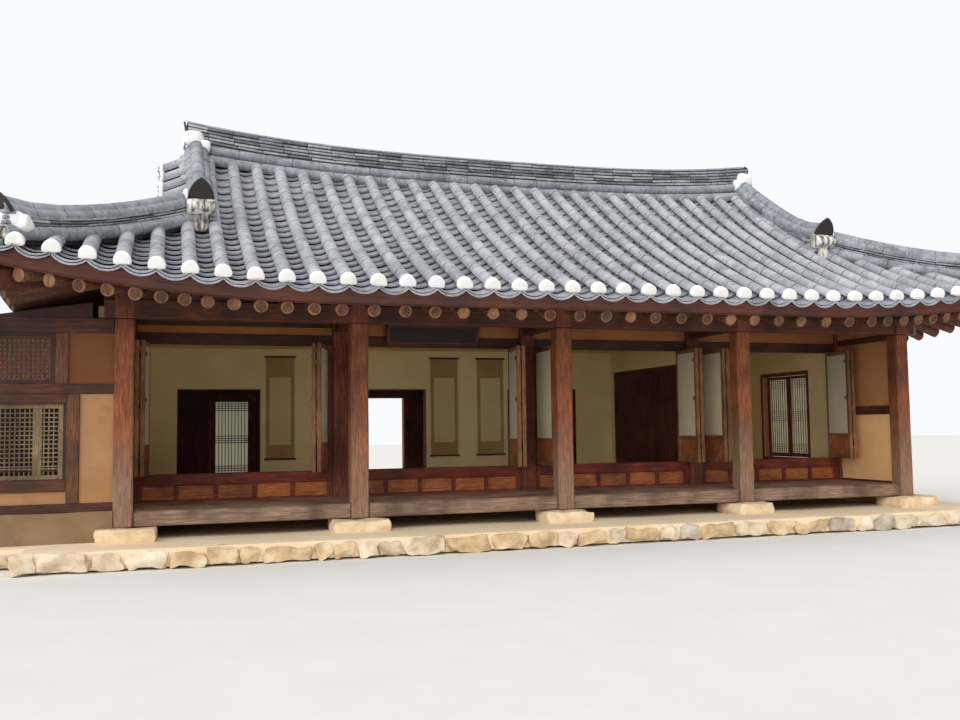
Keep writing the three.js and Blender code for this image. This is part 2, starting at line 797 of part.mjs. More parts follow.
function add(name, solid, finish) {
  const mesh = solid.getMesh();
  const geometry = new THREE.BufferGeometry();
  const corners = new THREE.BufferAttribute(new Float32Array(mesh.vertProperties), 3);
  geometry.setAttribute("position", corners);
  geometry.setIndex(new THREE.BufferAttribute(new Uint32Array(mesh.triVerts), 1));
  geometry.computeVertexNormals();
  const material = new THREE.MeshStandardMaterial({ ...finishes[finish], metalness: 0 });
  const node = new THREE.Mesh(geometry, material);
  node.name = name;
  house.add(node);
}

const base = plinth();
// A wall is built round the base stone that it meets.
const aroundStones = (wall) => mainShell(wall.subtract(base.translate(0, 0, gap)));
const frontRafters = frontEave(deepEaveRows);
const backRafters = mirrorY(frontEave(eaveRows));
const rightRafters = rightEave();
const rightSideWall = aroundStones(rightWall(rightRafters));
const leftSideWall = aroundStones(mirrorX(sideWall(rightRafters)));

add("plinth", base, "stone");
columnLines.forEach((x, i) => add(`front_column_${i + 1}`, frontColumn(x), "paleWood"));
add("front_purlin", frontPurlin(frontRafters), "oldWood");
add("inner_frame", innerFrame(), "oldWood");
add("veranda_floor", verandaFloor(), "paleWood");
add("room_floor", roomFloor(), "stone");
add("room_ceiling", ceiling(), "plaster");
add("back_wall", backWall(backRafters), "plaster");
add("inner_back_wall", innerBackWall(), "plaster");
add("left_wall", leftSideWall, "ochre");
add("right_wall", rightSideWall, "ochre");
add("board_partition", partition(), "oldWood");
for (let i = 0; i < bayCount; i += 1) {
  add(`folding_doors_${i + 1}_left`, foldedPair(i, -1), "paper");
  add(`folding_doors_${i + 1}_right`, foldedPair(i, 1), "paper");
}
add("back_door", backDoorLeaf(), "paper");
add("side_door_front", sideDoorLeaf(true), "paper");
add("side_door_rear", sideDoorLeaf(false), "paper");
add("name_board", nameBoard(), "board");

const tiledFront = frontSlope.add(frontTileRows());
const tiledSkirt = rightSkirt.add(sideTileRows());
add("roof_front", tiledFront, "tile");
add("roof_back", mirrorY(tiledFront), "tile");
add("roof_right_skirt", tiledSkirt, "tile");
add("roof_left_skirt", mirrorX(tiledSkirt), "tile");
add("front_eave", frontRafters, "oldWood");
add("back_eave", backRafters, "oldWood");
add("right_eave", rightRafters, "oldWood");
add("left_eave", mirrorX(rightRafters), "oldWood");
const gable = rightGable();
add("right_gable", gable, "oldWood");
add("left_gable", mirrorX(gable), "oldWood");
add("main_ridge", mainRidge(), "tile");
const cornerRidge = rightFrontRidge(gable);
add("front_right_ridge", cornerRidge, "tile");
add("front_left_ridge", mirrorX(cornerRidge), "tile");
add("back_right_ridge", mirrorY(cornerRidge), "tile");
add("back_left_ridge", mirrorX(mirrorY(cornerRidge)), "tile");

add("annex_front_wall", aroundStones(annexFrontWall()), "plaster");
add("annex_rear_walls", annexRearWalls(), "plaster");
add("annex_window", annexPanel(annexWindow, 50), "paleWood");
add("annex_grille", annexPanel(annexGrille, 40), "oldWood");
add("annex_roof", annexRoof(), "tile");

export default house;
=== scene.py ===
import math
import random

import bmesh
import bpy
from mathutils import Matrix, Vector, noise


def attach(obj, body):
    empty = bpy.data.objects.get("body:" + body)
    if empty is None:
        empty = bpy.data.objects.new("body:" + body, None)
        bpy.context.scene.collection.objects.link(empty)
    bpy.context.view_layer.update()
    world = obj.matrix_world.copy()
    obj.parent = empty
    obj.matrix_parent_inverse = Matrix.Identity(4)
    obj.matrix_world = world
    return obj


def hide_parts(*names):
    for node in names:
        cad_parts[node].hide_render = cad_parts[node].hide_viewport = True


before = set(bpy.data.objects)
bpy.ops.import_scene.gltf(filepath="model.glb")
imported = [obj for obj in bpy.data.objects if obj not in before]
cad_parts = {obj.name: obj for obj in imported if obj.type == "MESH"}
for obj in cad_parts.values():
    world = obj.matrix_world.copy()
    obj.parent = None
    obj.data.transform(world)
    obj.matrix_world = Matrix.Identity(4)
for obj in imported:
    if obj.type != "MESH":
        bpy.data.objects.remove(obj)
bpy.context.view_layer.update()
random.seed(11)
noise.seed_set(11)
print("frame loaded")

# The main lines of the house in metres, as the solids have them.
house = {
    "columns": [-4.8, -2.4, 0.0, 2.4, 4.8],
    "verandaDepth": 1.2,
    "depth": 4.95,
    "foot": 0.32,
    "floor": 0.476,
    "sill": 0.787,
    "headerLow": 2.275,
    "columnTop": 2.425,
    "halfColumn": 0.095,
    "insideX": 4.7447,
    "panels": 5,
}

cameraView = {
    "place": (-4.416, -10.503, 1.292),
    "yaw": 18.008,  # degrees right of +Y
    "pitch": 3.884,
    "roll": -0.705,
    "lens": 36.5,
}


def addCamera():
    yaw, pitch, roll = (math.radians(cameraView[k]) for k in ("yaw", "pitch", "roll"))
    look = Vector((math.sin(yaw) * math.cos(pitch), math.cos(yaw) * math.cos(pitch), math.sin(pitch)))
    level = Vector((math.cos(yaw), -math.sin(yaw), 0))
    rise = level.cross(look)
    right = level * math.cos(roll) + rise * math.sin(roll)
    up = rise * math.cos(roll) - level * math.sin(roll)
    turn = Matrix((right, up, -look)).transposed().to_4x4()
    data = bpy.data.cameras.new("camera")
    data.lens = cameraView["lens"]
    camera = bpy.data.objects.new("camera", data)
    camera.matrix_world = Matrix.Translation(cameraView["place"]) @ turn
    bpy.context.scene.collection.objects.link(camera)
    bpy.context.scene.camera = camera


addCamera()


# Colours and materials

def toLinear(hexColour):
    parts = [int(hexColour[i:i + 2], 16) / 255 for i in (0, 2, 4)]
    return [c / 12.92 if c <= 0.04045 else ((c + 0.055) / 1.055) ** 2.4 for c in parts] + [1.0]


def addNode(tree, kind, settings=None, links=None):
    node = tree.nodes.new(kind)
    for key, value in (settings or {}).items():
        if isinstance(key, int) or key in node.inputs:
            node.inputs[key].default_value = value
        elif key == "stops":
            ramp = node.color_ramp
            while len(ramp.elements) < len(value):
                ramp.elements.new(0.5)
            for element, (place, colour) in zip(ramp.elements, value):
                element.position = place
                element.color = toLinear(colour)
        else:
            setattr(node, key, value)
    for key, source in (links or {}).items():
        tree.links.new(source, node.inputs[key])
    return node


def startMaterial(name, roughness):
    material = bpy.data.materials.new(name)
    material.use_nodes = True
    tree = material.node_tree
    shader = tree.nodes["Principled BSDF"]
    shader.inputs["Roughness"].default_value = roughness
    coords = addNode(tree, "ShaderNodeTexCoord")
    return material, tree, shader, coords.outputs["Object"]


def mixColours(tree, factor, first, second, blend="MIX"):
    node = addNode(tree, "ShaderNodeMix", {"data_type": "RGBA", "blend_type": blend})
    for key, value in ((0, factor), (6, first), (7, second)):
        if isinstance(value, bpy.types.NodeSocket):
            tree.links.new(value, node.inputs[key])
        else:
            node.inputs[key].default_value = value
    return node.outputs[2]


def finishShader(tree, shader, colour, height, depth, strength=0.6):
    bump = addNode(tree, "ShaderNodeBump", {"Strength": strength, "Distance": depth}, {"Height": height})
    tree.links.new(bump.outputs["Normal"], shader.inputs["Normal"])
    tree.links.new(colour, shader.inputs["Base Color"])


def addSpots(tree, where, colour, scale, detail, limits, amount, tint):
    # Spots of another tint, where a noise rises from the first limit to the second.
    spots = addNode(tree, "ShaderNodeTexNoise", {"Scale": scale, "Detail": detail}, {"Vector": where})
    mask = addNode(tree, "ShaderNodeMapRange",
                   {"From Min": limits[0], "From Max": limits[1], "To Max": amount},
                   {"Value": spots.outputs["Fac"]})
    return mixColours(tree, mask.outputs[0], colour, toLinear(tint))


def oldTimber(name, dark, middle, light, axis, grain=0.011, greyFoot=None):
    # Hand-planed pine, long weathered: streaks of dark and pale grain along the piece,
    # blotches of old smoke and sun, and fine drying checks in the bump.
    material, tree, shader, where = startMaterial(name, 0.72)
    scale = {"X": (0.07, 1, 1), "Y": (1, 0.07, 1), "Z": (1, 1, 0.07)}[axis]
    along = addNode(tree, "ShaderNodeMapping", {"Scale": scale}, {"Vector": where})
    streaks = addNode(tree, "ShaderNodeTexNoise",
                      {"Scale": 1 / grain, "Detail": 5, "Roughness": 0.62, "Distortion": 0.35},
                      {"Vector": along.outputs[0]})
    colour = addNode(tree, "ShaderNodeValToRGB", {"stops": [(0.26, dark), (0.5, middle), (0.74, light)]},
                     {"Fac": streaks.outputs["Fac"]}).outputs["Color"]
    patches = addNode(tree, "ShaderNodeTexNoise", {"Scale": 2.3, "Detail": 3}, {"Vector": where})
    smoke = addNode(tree, "ShaderNodeValToRGB", {"stops": [(0.34, "8e8480"), (0.62, "ffffff")]},
                    {"Fac": patches.outputs["Fac"]})
    colour = mixColours(tree, 0.75, colour, smoke.outputs["Color"], "MULTIPLY")
    if greyFoot:
        # Rain and sun bleach the lower end of a column.
        low, high, grey = greyFoot
        parts = addNode(tree, "ShaderNodeSeparateXYZ", links={"Vector": where})
        spread = addNode(tree, "ShaderNodeMath", {"operation": "MULTIPLY_ADD", 1: 0.9},
                         {0: patches.outputs["Fac"], 2: parts.outputs["Z"]})
        reach = addNode(tree, "ShaderNodeMapRange",
                        {"From Min": low + 0.45, "From Max": high + 0.45, "To Min": 0.85, "To Max": 0.0},
                        {"Value": spread.outputs[0]})
        bleached = addNode(tree, "ShaderNodeValToRGB",
                           {"stops": [(0.25, "5d4c40"), (0.5, grey), (0.8, "a8927c")]},
                           {"Fac": streaks.outputs["Fac"]})
        colour = mixColours(tree, reach.outputs[0], colour, bleached.outputs["Color"])
    finishShader(tree, shader, colour, streaks.outputs["Fac"], 0.004)
    return material


def limedPlaster(name, dark, light, roughness=0.93, stain=None):
    # Clay and lime plaster, trowelled: nearly even, with soft clouds, hairline sand and a
    # few stains.
    material, tree, shader, where = startMaterial(name, roughness)
    clouds = addNode(tree, "ShaderNodeTexNoise", {"Scale": 1.7, "Detail": 6, "Roughness": 0.6},
                     {"Vector": where})
    colour = addNode(tree, "ShaderNodeValToRGB", {"stops": [(0.32, dark), (0.68, light)]},
                     {"Fac": clouds.outputs["Fac"]}).outputs["Color"]
    if stain:
        colour = addSpots(tree, where, colour, 5.5, 4, (0.62, 0.8), 0.5, stain)
    sand = addNode(tree, "ShaderNodeTexNoise", {"Scale": 260, "Detail": 3}, {"Vector": where})
    finishShader(tree, shader, colour, sand.outputs["Fac"], 0.0015, 0.5)
    return material


def weatheredLime(name):
    # Old lime mortar: cream above, with black runs of rain and lichen down its face.
    material, tree, shader, where = startMaterial(name, 0.95)
    stretch = addNode(tree, "ShaderNodeMapping", {"Scale": (1, 1, 0.22)}, {"Vector": where})
    runs = addNode(tree, "ShaderNodeTexNoise", {"Scale": 22, "Detail": 5}, {"Vector": stretch.outputs[0]})
    stops = [(0.36, "55524e"), (0.47, "a39f97"), (0.56, "e8e3d9")]
    colour = addNode(tree, "ShaderNodeValToRGB", {"stops": stops}, {"Fac": runs.outputs["Fac"]})
    finishShader(tree, shader, colour.outputs["Color"], runs.outputs["Fac"], 0.004)
    return material


def firedTile(name, dark, light, pale):
    # Smoke-fired clay tile: matt blue-grey, each tile a shade of its own, with a paler
    # bloom of dust and lichen and a sandy face.
    material, tree, shader, where = startMaterial(name, 0.68)
    cells = addNode(tree, "ShaderNodeTexVoronoi", {"Scale": 3.4}, {"Vector": where})
    own = addNode(tree, "ShaderNodeSeparateColor", links={"Color": cells.outputs["Color"]})
    clouds = addNode(tree, "ShaderNodeTexNoise", {"Scale": 9, "Detail": 5, "Roughness": 0.65},
                     {"Vector": where})
    blend = addNode(tree, "ShaderNodeMath", {"operation": "MULTIPLY_ADD", 1: 0.3},
                    {0: own.outputs[0], 2: clouds.outputs["Fac"]})
    colour = addNode(tree, "ShaderNodeValToRGB", {"stops": [(0.3, dark), (0.95, light)]},
                     {"Fac": blend.outputs[0]}).outputs["Color"]
    colour = addSpots(tree, where, colour, 26, 4, (0.56, 0.76), 0.4, pale)
    grit = addNode(tree, "ShaderNodeTexNoise", {"Scale": 190, "Detail": 2}, {"Vector": where})
    finishShader(tree, shader, colour, grit.outputs["Fac"], 0.001, 0.5)
    return material


def roughStone(name, dark, middle, light):
    # Field granite: a speckle of crystals, broad warm and grey clouds, an uneven broken face.
    # The crystals are drawn at 8 mm, coarser than the real ones, so that they show.
    material, tree, shader, where = startMaterial(name, 0.9)
    clouds = addNode(tree, "ShaderNodeTexNoise", {"Scale": 5, "Detail": 6, "Roughness": 0.6},
                     {"Vector": where})
    colour = addNode(tree, "ShaderNodeValToRGB", {"stops": [(0.3, dark), (0.5, middle), (0.72, light)]},
                     {"Fac": clouds.outputs["Fac"]}).outputs["Color"]
    colour = addSpots(tree, where, colour, 125, 3, (0.55, 0.7), 0.35, "6a5f52")
    finishShader(tree, shader, colour, clouds.outputs["Fac"], 0.02, 0.7)
    return material


def mulberryPaper(name, dark, light):
    # Handmade mulberry paper pasted on the frames: warm white, long fibres, a slight cockle,
    # and thin enough for daylight to soak through.
    material, tree, shader, where = startMaterial(name, 0.9)
    shader.inputs["Transmission Weight"].default_value = 0.5
    shader.inputs["IOR"].default_value = 1.1
    fibres = addNode(tree, "ShaderNodeTexNoise", {"Scale": 60, "Detail": 4, "Distortion": 1.5},
                     {"Vector": where})
    colour = addNode(tree, "ShaderNodeValToRGB", {"stops": [(0.35, dark), (0.6, light)]},
                     {"Fac": fibres.outputs["Fac"]})
    cockle = addNode(tree, "ShaderNodeTexNoise", {"Scale": 7, "Detail": 2}, {"Vector": where})
    finishShader(tree, shader, colour.outputs["Color"], cockle.outputs["Fac"], 0.004, 0.4)
    return material


def wroughtIron(name):
    # Forged iron gone dark with handling, dull and slightly pitted.
    material, tree, shader, where = startMaterial(name, 0.55)
    shader.inputs["Metallic"].default_value = 0.8
    pits = addNode(tree, "ShaderNodeTexNoise", {"Scale": 220, "Detail": 3}, {"Vector": where})
    colour = addNode(tree, "ShaderNodeValToRGB", {"stops": [(0.35, "17130f"), (0.65, "3a322b")]},
                     {"Fac": pits.outputs["Fac"]})
    finishShader(tree, shader, colour.outputs["Color"], pits.outputs["Fac"], 0.001, 0.5)
    return material


timberZ = oldTimber("reddish pine post", "4d2915", "894a28", "b96d3b", "Z", greyFoot=(0.5, 1.5, "93745e"))
# The next four pine materials are darker copies of the post timber: their darkness is painted shade for the
# heads, beams and rails under the eaves.
timberDarkZ = oldTimber("pine post with painted shade", "411e16", "753a26", "a95e40", "Z")
timberX = oldTimber("pine beam with painted shade", "2e140c", "562919", "7c422a", "X")
timberDarkX = oldTimber("pine rail with painted shade", "271007", "482113", "6b3621", "X")
timberY = oldTimber("pine side rail with painted shade", "2e140c", "562919", "7c422a", "Y")
timberRed = oldTimber("red-brown eave board", "371508", "522412", "66331b", "X", grain=0.016)
timberPanel = oldTimber("oiled pine panel", "703b1d", "b66936", "ea9450", "X")
timberPanelZ = oldTimber("oiled pine upright", "693721", "aa6236", "db884b", "Z")
floorTimber = oldTimber("worn floor board", "563f32", "97745c", "d0a583", "X", grain=0.014)
beamTimber = oldTimber("bleached front beam", "60483a", "927661", "b79f85", "X", grain=0.02)
latticeTimber = oldTimber("pale lattice bar", "4a3826", "7d664b", "a58e6a", "Z", grain=0.006)
endGrain = oldTimber("rafter end grain", "5a3822", "8b6041", "b58558", "Z", grain=0.02)
darkEnd = oldTimber("smoked rafter heart", "3a1f14", "5f3a27", "8a5f42", "Z", grain=0.02)
boardTimber = oldTimber("dark wall board", "331713", "5d2a21", "854032", "Z")
sillTimber = oldTimber("red-brown sill rail", "46180a", "762c17", "ad4627", "X")
annexPost = oldTimber("brown wall post", "3a2012", "663b20", "885a38", "Z")
# Near-black wall filling: dark wood with painted shade under the annex eave.
annexDark = oldTimber("dark wood filling with painted shade", "20120b", "3a2114", "55321f", "X")
# The annex plasters are darkened as painted shade under the deep hip eave, the upper one most.
annexUpper = limedPlaster("ochre plaster with painted eave shade", "6d3f1d", "7a4c2b", stain="5f3414")
annexLower = limedPlaster("sand plaster with painted eave shade", "a0744b", "ae835b", stain="8a5e38")
# A darker copy of the ochre plaster: painted shade under the veranda roof.
lintelPlaster = limedPlaster("lintel plaster with painted shade", "965c31", "aa6e3e", stain="7c4a26")
# Paper darkened as painted shade under the annex eave.
grillePaper = mulberryPaper("grille paper with painted shade", "9c876c", "b8a284")
# The ochre and the pale plaster are one wall plaster, in painted eave shade above and painted light below.
ochrePlaster = limedPlaster("ochre wall plaster with painted eave shade", "ad7340", "c08858", stain="986030")
palePlaster = limedPlaster("lower wall plaster with painted light", "f3b87a", "f7cd92", stain="d79d61")
roomPaper = limedPlaster("cream wall paper", "e9d39e", "f6dfab", 0.88)
earth = limedPlaster("packed pale earth", "f3d6b0", "f7e6c6", stain="d8b086")
slopeTile = firedTile("smoke-fired roof tile", "7a7c83", "b6b6bd", "e2ddd8")
ridgeTile = firedTile("smoke-fired ridge tile", "5c5f67", "a3a6ae", "d8d4cf")
wetRidge = firedTile("dark ridge tile", "46484d", "7a7c82", "a5a29b")
paleRidge = firedTile("pale ridge tile", "85878a", "b4b5b7", "dbd6cf")
darkTile = firedTile("dark end tile", "1c1a1b", "35312f", "4a4540")
lime = limedPlaster("white lime mortar", "f1efeb", "f7f7f7", stain="c0bbb3")
stone = roughStone("pale field stone", "b79e7e", "e4d0b0", "f6ead4")
warmStone = roughStone("warm field stone", "b08f66", "d8ba8f", "efdab5")
greyStone = roughStone("grey field stone", "978a79", "c2b4a0", "e2d6c4")
footStone = roughStone("worn column stone", "d6b88e", "f2d9b2", "f7ead0")
paper = mulberryPaper("mulberry door paper", "f6e6c5", "f7f7e5")
iron = wroughtIron("forged iron")
blackBoard = oldTimber("black painted board", "19100e", "281b19", "392825", "X")
floorPaper = limedPlaster("oiled floor paper", "a98a4e", "bc9c5f", 0.5)
# Near-black fill: painted shade in the gaps of ridges and tiles, and behind the annex window.
darkShadeFill = limedPlaster("dark fill with painted shade", "2b2827", "47423f")
stainedLime = weatheredLime("rain-streaked lime mortar")
timberDarkY = oldTimber("dark pine side board", "241209", "452616", "6a402b", "Y")
rafterTimber = oldTimber("rafter pine", "3a2015", "68402b", "8f6346", "Y", grain=0.014)
sideRafterTimber = oldTimber("side rafter pine", "3a2015", "68402b", "8f6346", "X", grain=0.014)
# Near-black bars: painted shade of bars seen against lit paper.
darkBars = oldTimber("lattice bar with painted shade", "1c1512", "3a2d27", "5a4a41", "Z", grain=0.006)
leafTimber = oldTimber("planed door pine", "5f3820", "90603e", "b8895e", "Z", grain=0.008)
scrollCloth = limedPlaster("plain silk mount", "a98458", "bd9868", 0.8)
scrollPaper = limedPlaster("aged scroll paper", "dbc292", "e4cd9f", 0.85)
annexTimberX = oldTimber("weathered wall rail", "2b1107", "4e2512", "714027", "X", grain=0.016)
clayFooting = limedPlaster("rough clay footing", "71593e", "947959", stain="5a4732")
print("materials made")


# Making pieces

def makePiece(name, bm, materials, nodes=(), body="house", smooth=False):
    mesh = bpy.data.meshes.new(name)
    bm.normal_update()
    bm.to_mesh(mesh)
    bm.free()
    for material in materials if isinstance(materials, (list, tuple)) else [materials]:
        mesh.materials.append(material)
    piece = bpy.data.objects.new(name, mesh)
    bpy.context.scene.collection.objects.link(piece)
    if smooth:
        for face in mesh.polygons:
            face.use_smooth = True
        mesh.set_sharp_from_angle(angle=math.radians(40))
    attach(piece, body)
    if nodes:
        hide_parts(*nodes)
    return piece


def addBox(bm, low, high, bevel=0.0, slot=0):
    made = bmesh.ops.create_cube(bm, size=1.0)["verts"]
    size = [max(h - l, 1e-5) for l, h in zip(low, high)]
    bmesh.ops.scale(bm, vec=size, verts=made)
    bmesh.ops.translate(bm, vec=[(l + h) / 2 for l, h in zip(low, high)], verts=made)
    faces = list({f for v in made for f in v.link_faces})
    for face in faces:
        face.material_index = slot
    if bevel:
        edges = list({e for v in made for e in v.link_edges})
        bmesh.ops.bevel(bm, geom=edges, offset=bevel, affect="EDGES", segments=1, profile=0.5, material=-1)
    return made


def addBar(bm, start, end, width, height, bevel=0.0, slot=0):
    # A squared bar between two points, its sides upright.
    part = bmesh.new()
    span = Vector(end) - Vector(start)
    corner = Vector((span.length, width, height)) / 2
    addBox(part, -corner, corner, bevel, slot)
    level = abs(span.x) + abs(span.y) > 1e-6
    side = Vector((-span.y, span.x, 0)).normalized() if level else Vector((0, 1, 0))
    ahead = span.normalized()
    turn = Matrix((ahead, side, ahead.cross(side))).transposed().to_4x4()
    placeInto(bm, part, Matrix.Translation((Vector(start) + Vector(end)) / 2) @ turn)


def placeInto(bm, part, matrix):
    mesh = bpy.data.meshes.new("part")
    part.to_mesh(mesh)
    mesh.transform(matrix)
    bm.from_mesh(mesh)
    bpy.data.meshes.remove(mesh)
    part.free()


def vertsOf(made):
    return [g for g in made if isinstance(g, bmesh.types.BMVert)]


def boxPiece(name, boxes, material, bevel=0.006, nodes=()):
    # A piece of squared parts: each has a low and a high corner, and may have its own bevel.
    bm = bmesh.new()
    for low, high, *own in boxes:
        addBox(bm, low, high, own[0] if own else bevel)
    makePiece(name, bm, material, nodes)


def thicken(bm, thickness):
    # Gives a nearly level sheet a thickness, its faces outward.
    bmesh.ops.recalc_face_normals(bm, faces=bm.faces)
    if sum(f.normal.z for f in bm.faces) < 0:
        bmesh.ops.reverse_faces(bm, faces=bm.faces)
    bmesh.ops.solidify(bm, geom=list(bm.faces), thickness=thickness)


def stampMesh(bm, template, matrix):
    copy = template.copy()
    copy.transform(matrix)
    bm.from_mesh(copy)
    bpy.data.meshes.remove(copy)


def asTemplate(bm, name):
    mesh = bpy.data.meshes.new(name)
    bm.to_mesh(mesh)
    bm.free()
    return mesh


def frameBetween(start, end, up, scaleAlong=True, width=1.0):
    # Y runs from start to end, Z leans to the given up.
    ahead = Vector(end) - Vector(start)
    length = ahead.length
    ahead.normalize()
    side = ahead.cross(Vector(up)).normalized()
    lift = side.cross(ahead)
    turn = Matrix((side, ahead, lift)).transposed().to_4x4()
    stretch = Matrix.Diagonal((width, length if scaleAlong else 1.0, width, 1.0))
    return Matrix.Translation(Vector(start)) @ turn @ stretch


def woodLog(bm, start, end, radius, sides=14, heart=0):
    part = bmesh.new()
    length = (Vector(end) - Vector(start)).length
    bmesh.ops.create_cone(part, cap_ends=True, segments=sides, radius1=radius, radius2=radius * 0.97,
                          depth=length)
    for face in part.faces:
        face.material_index = 1 if abs(face.normal.z) > 0.9 else 0
    rims = [e for e in part.edges if {f.material_index for f in e.link_faces} == {0, 1}]
    bmesh.ops.bevel(part, geom=rims, offset=0.006, affect="EDGES", segments=1, profile=0.5, material=1)
    if heart:
        ends = [f for f in part.faces if abs(f.normal.z) > 0.9]
        bmesh.ops.inset_individual(part, faces=ends, thickness=radius * 0.16)
        for face in ends:
            face.material_index = heart
    turn = Vector((0, 0, 1)).rotation_difference(Vector(end) - Vector(start)).to_matrix().to_4x4()
    placeInto(bm, part, Matrix.Translation((Vector(start) + Vector(end)) / 2) @ turn)


# The roof's surface: t is the level distance in from the eave, and d the distance along the
# eave from the nearest corner.

roof = {
    "eaveTop": 2.695,
    "slope": 0.42,
    "curve": 0.0406,
    "cornerRise": 0.3,
    "cornerReach": 3.3,
    "flare": 0.06,
    "halfX": 5.95,
    "halfY": 3.625,
    "midY": 2.475,
    "overhang": 1.15,
    "gableX": 4.2,
    "vergeX": 4.45,
    "rowPitch": 0.298,
    "rowShift": -0.021,
    "courseLength": 0.167,
    "coverLength": 0.3,
    "coverStart": 0.037,
    "coverRadius": 0.073,
    "channelRadius": 0.21,
    "coverLift": 0.012,
    "channelDrop": 0.034,
}


def topHeight(d, t):
    along = max(0.0, 1 - max(0.0, d) / roof["cornerReach"])
    inward = max(0.0, 1 - max(0.0, t) / 2.6)
    corner = roof["cornerRise"] * along ** 2.2 * inward
    return roof["eaveTop"] + corner + roof["slope"] * t + roof["curve"] * t * t


def flareAt(d, t):
    along = max(0.0, 1 - d / roof["cornerReach"])
    return roof["flare"] * along ** 2 * max(0.0, 1 - t / 0.6)


def isLong(side):
    return side in ("front", "back")


def halfOf(side):
    return roof["halfX"] if isLong(side) else roof["halfY"]


def sidePoint(side, along, t, lift=0.0):
    # A point on one of the four slopes: along runs from the middle of that side. The long
    # slopes lift towards the ends of the main ridge.
    d = halfOf(side) - abs(along)
    if isLong(side):
        lift += 0.13 * (abs(along) / 4.15) ** 3 * (max(0.0, t - 2.3) / 1.15) ** 2
        y = t - roof["overhang"] - flareAt(d, t)
        if side == "back":
            y = house["depth"] - y
        return Vector((along, y, topHeight(d, t) + lift))
    x = roof["halfX"] - t + flareAt(d, t)
    return Vector((x if side == "right" else -x, roof["midY"] + along, topHeight(d, t) + lift))


def slopeFrame(side, along, t0, t1, lift0=0.0, lift1=0.0):
    start = sidePoint(side, along, t0, lift0)
    end = sidePoint(side, along, t1, lift1)
    across = sidePoint(side, along + 0.05, t0) - sidePoint(side, along - 0.05, t0)
    up = across.cross(end - start)
    if up.z < 0:
        up.negate()
    return frameBetween(start, end, up)


def turnOutward(bm, outward):
    # Faces across a tile look to its front, and the others to where outward points.
    bm.normal_update()
    for face in bm.faces:
        across = abs(face.normal.y) > 0.8
        if face.normal.y > 0 if across else face.normal.dot(outward(face.calc_center_median())) < 0:
            face.normal_flip()


def arcStrip(radius, half, segments, taper=1.0, lip=0.0):
    # The upper arc of a tube from y = 0 to 1, with a lip at its front edge.
    bm = bmesh.new()
    bmesh.ops.create_circle(bm, segments=segments, radius=radius)
    bmesh.ops.rotate(bm, matrix=Matrix.Rotation(math.radians(90), 3, "X"), verts=bm.verts)
    drop = [v for v in bm.verts if v.co.z < radius * math.cos(half) - 1e-4]
    bmesh.ops.delete(bm, geom=drop, context="VERTS")
    front = list(bm.edges)
    back = vertsOf(bmesh.ops.extrude_edge_only(bm, edges=front)["geom"])
    bmesh.ops.translate(bm, vec=(0, 1, 0), verts=back)
    bmesh.ops.scale(bm, vec=(taper, 1, taper), verts=back)
    if lip:
        for v in vertsOf(bmesh.ops.extrude_edge_only(bm, edges=front)["geom"]):
            v.co -= Vector((v.co.x, 0, v.co.z)).normalized() * lip
    turnOutward(bm, lambda middle: Vector((middle.x, 0, middle.z)))
    return bm


def coverTemplate(radius):
    # A half-round tile: a groove shows where its tongue runs in under the next one.
    bm = arcStrip(radius, math.radians(94), 20, 0.985, 0.016)
    bmesh.ops.scale(bm, vec=(1, 0.955, 1), verts=bm.verts)
    tongue = arcStrip(radius * 0.86, math.radians(94), 20)
    bmesh.ops.scale(tongue, vec=(1, 0.1, 1), verts=tongue.verts)
    placeInto(bm, tongue, Matrix.Translation((0, 0.95, 0)))
    return bm


def channelTemplate(radius):
    # A hollow-side-up tile: its lip stands 18 mm thick over a dark gap, and its tail runs on
    # under the next course.
    bm = arcStrip(radius, math.radians(45.5), 32)
    bmesh.ops.rotate(bm, matrix=Matrix.Rotation(math.pi, 3, "Y"), verts=bm.verts)
    bmesh.ops.translate(bm, vec=(0, 0, radius * math.cos(math.radians(45))), verts=bm.verts)
    front = [e for e in bm.edges if all(abs(v.co.y) < 1e-5 for v in e.verts)]
    low = vertsOf(bmesh.ops.extrude_edge_only(bm, edges=front)["geom"])
    bmesh.ops.translate(bm, vec=(0, 0, -0.018), verts=low)
    turnOutward(bm, lambda middle: Vector((0, 0, 1)))
    return bm


coverTile = asTemplate(coverTemplate(roof["coverRadius"]), "coverTile")
channelTile = asTemplate(channelTemplate(roof["channelRadius"]), "channelTile")


def rowEnd(side, along):
    # How far up the slope a row of tiles runs.
    corner = halfOf(side) - abs(along)
    if isLong(side):
        return corner if abs(along) > roof["gableX"] else 3.4
    return min(1.72, corner)


def rowPlaces(side, between=0.0):
    # Numbers and places of the cover rows, or with between at 0.5 of the hollow rows.
    count = int((halfOf(side) - 0.1) / roof["rowPitch"])
    shift = roof["rowShift"] if isLong(side) else 0.0
    first = -count - 1 if between else -count
    return [(k, (k + between) * roof["rowPitch"] + shift) for k in range(first, count + 1)]


def layTiles(bm, side):
    exposure = roof["courseLength"]
    for k, along in rowPlaces(side, 0.5):
        top = rowEnd(side, along)
        stampMesh(bm, channelTile, slopeFrame(side, along, 0.002, min(0.3, top), -0.02, -0.05))
        t = 0.02
        while t < top - 0.03:
            tail = min(t + exposure + 0.09, top + 0.02)
            slope = (tail - t) / exposure * roof["channelDrop"]
            lift = 0.006 + random.uniform(-0.003, 0.003)
            stampMesh(bm, channelTile, slopeFrame(side, along, t, tail, lift, lift - slope))
            t += exposure
    rise = roof["coverLift"]
    for k, along in rowPlaces(side):
        top = rowEnd(side, along)
        t = roof["coverStart"]
        while t < top - 0.05:
            end = min(t + roof["coverLength"], top)
            wobble = random.uniform(-0.004, 0.004)
            stampMesh(bm, coverTile, slopeFrame(side, along + wobble, t, end, rise, rise))
            t += roof["coverLength"]


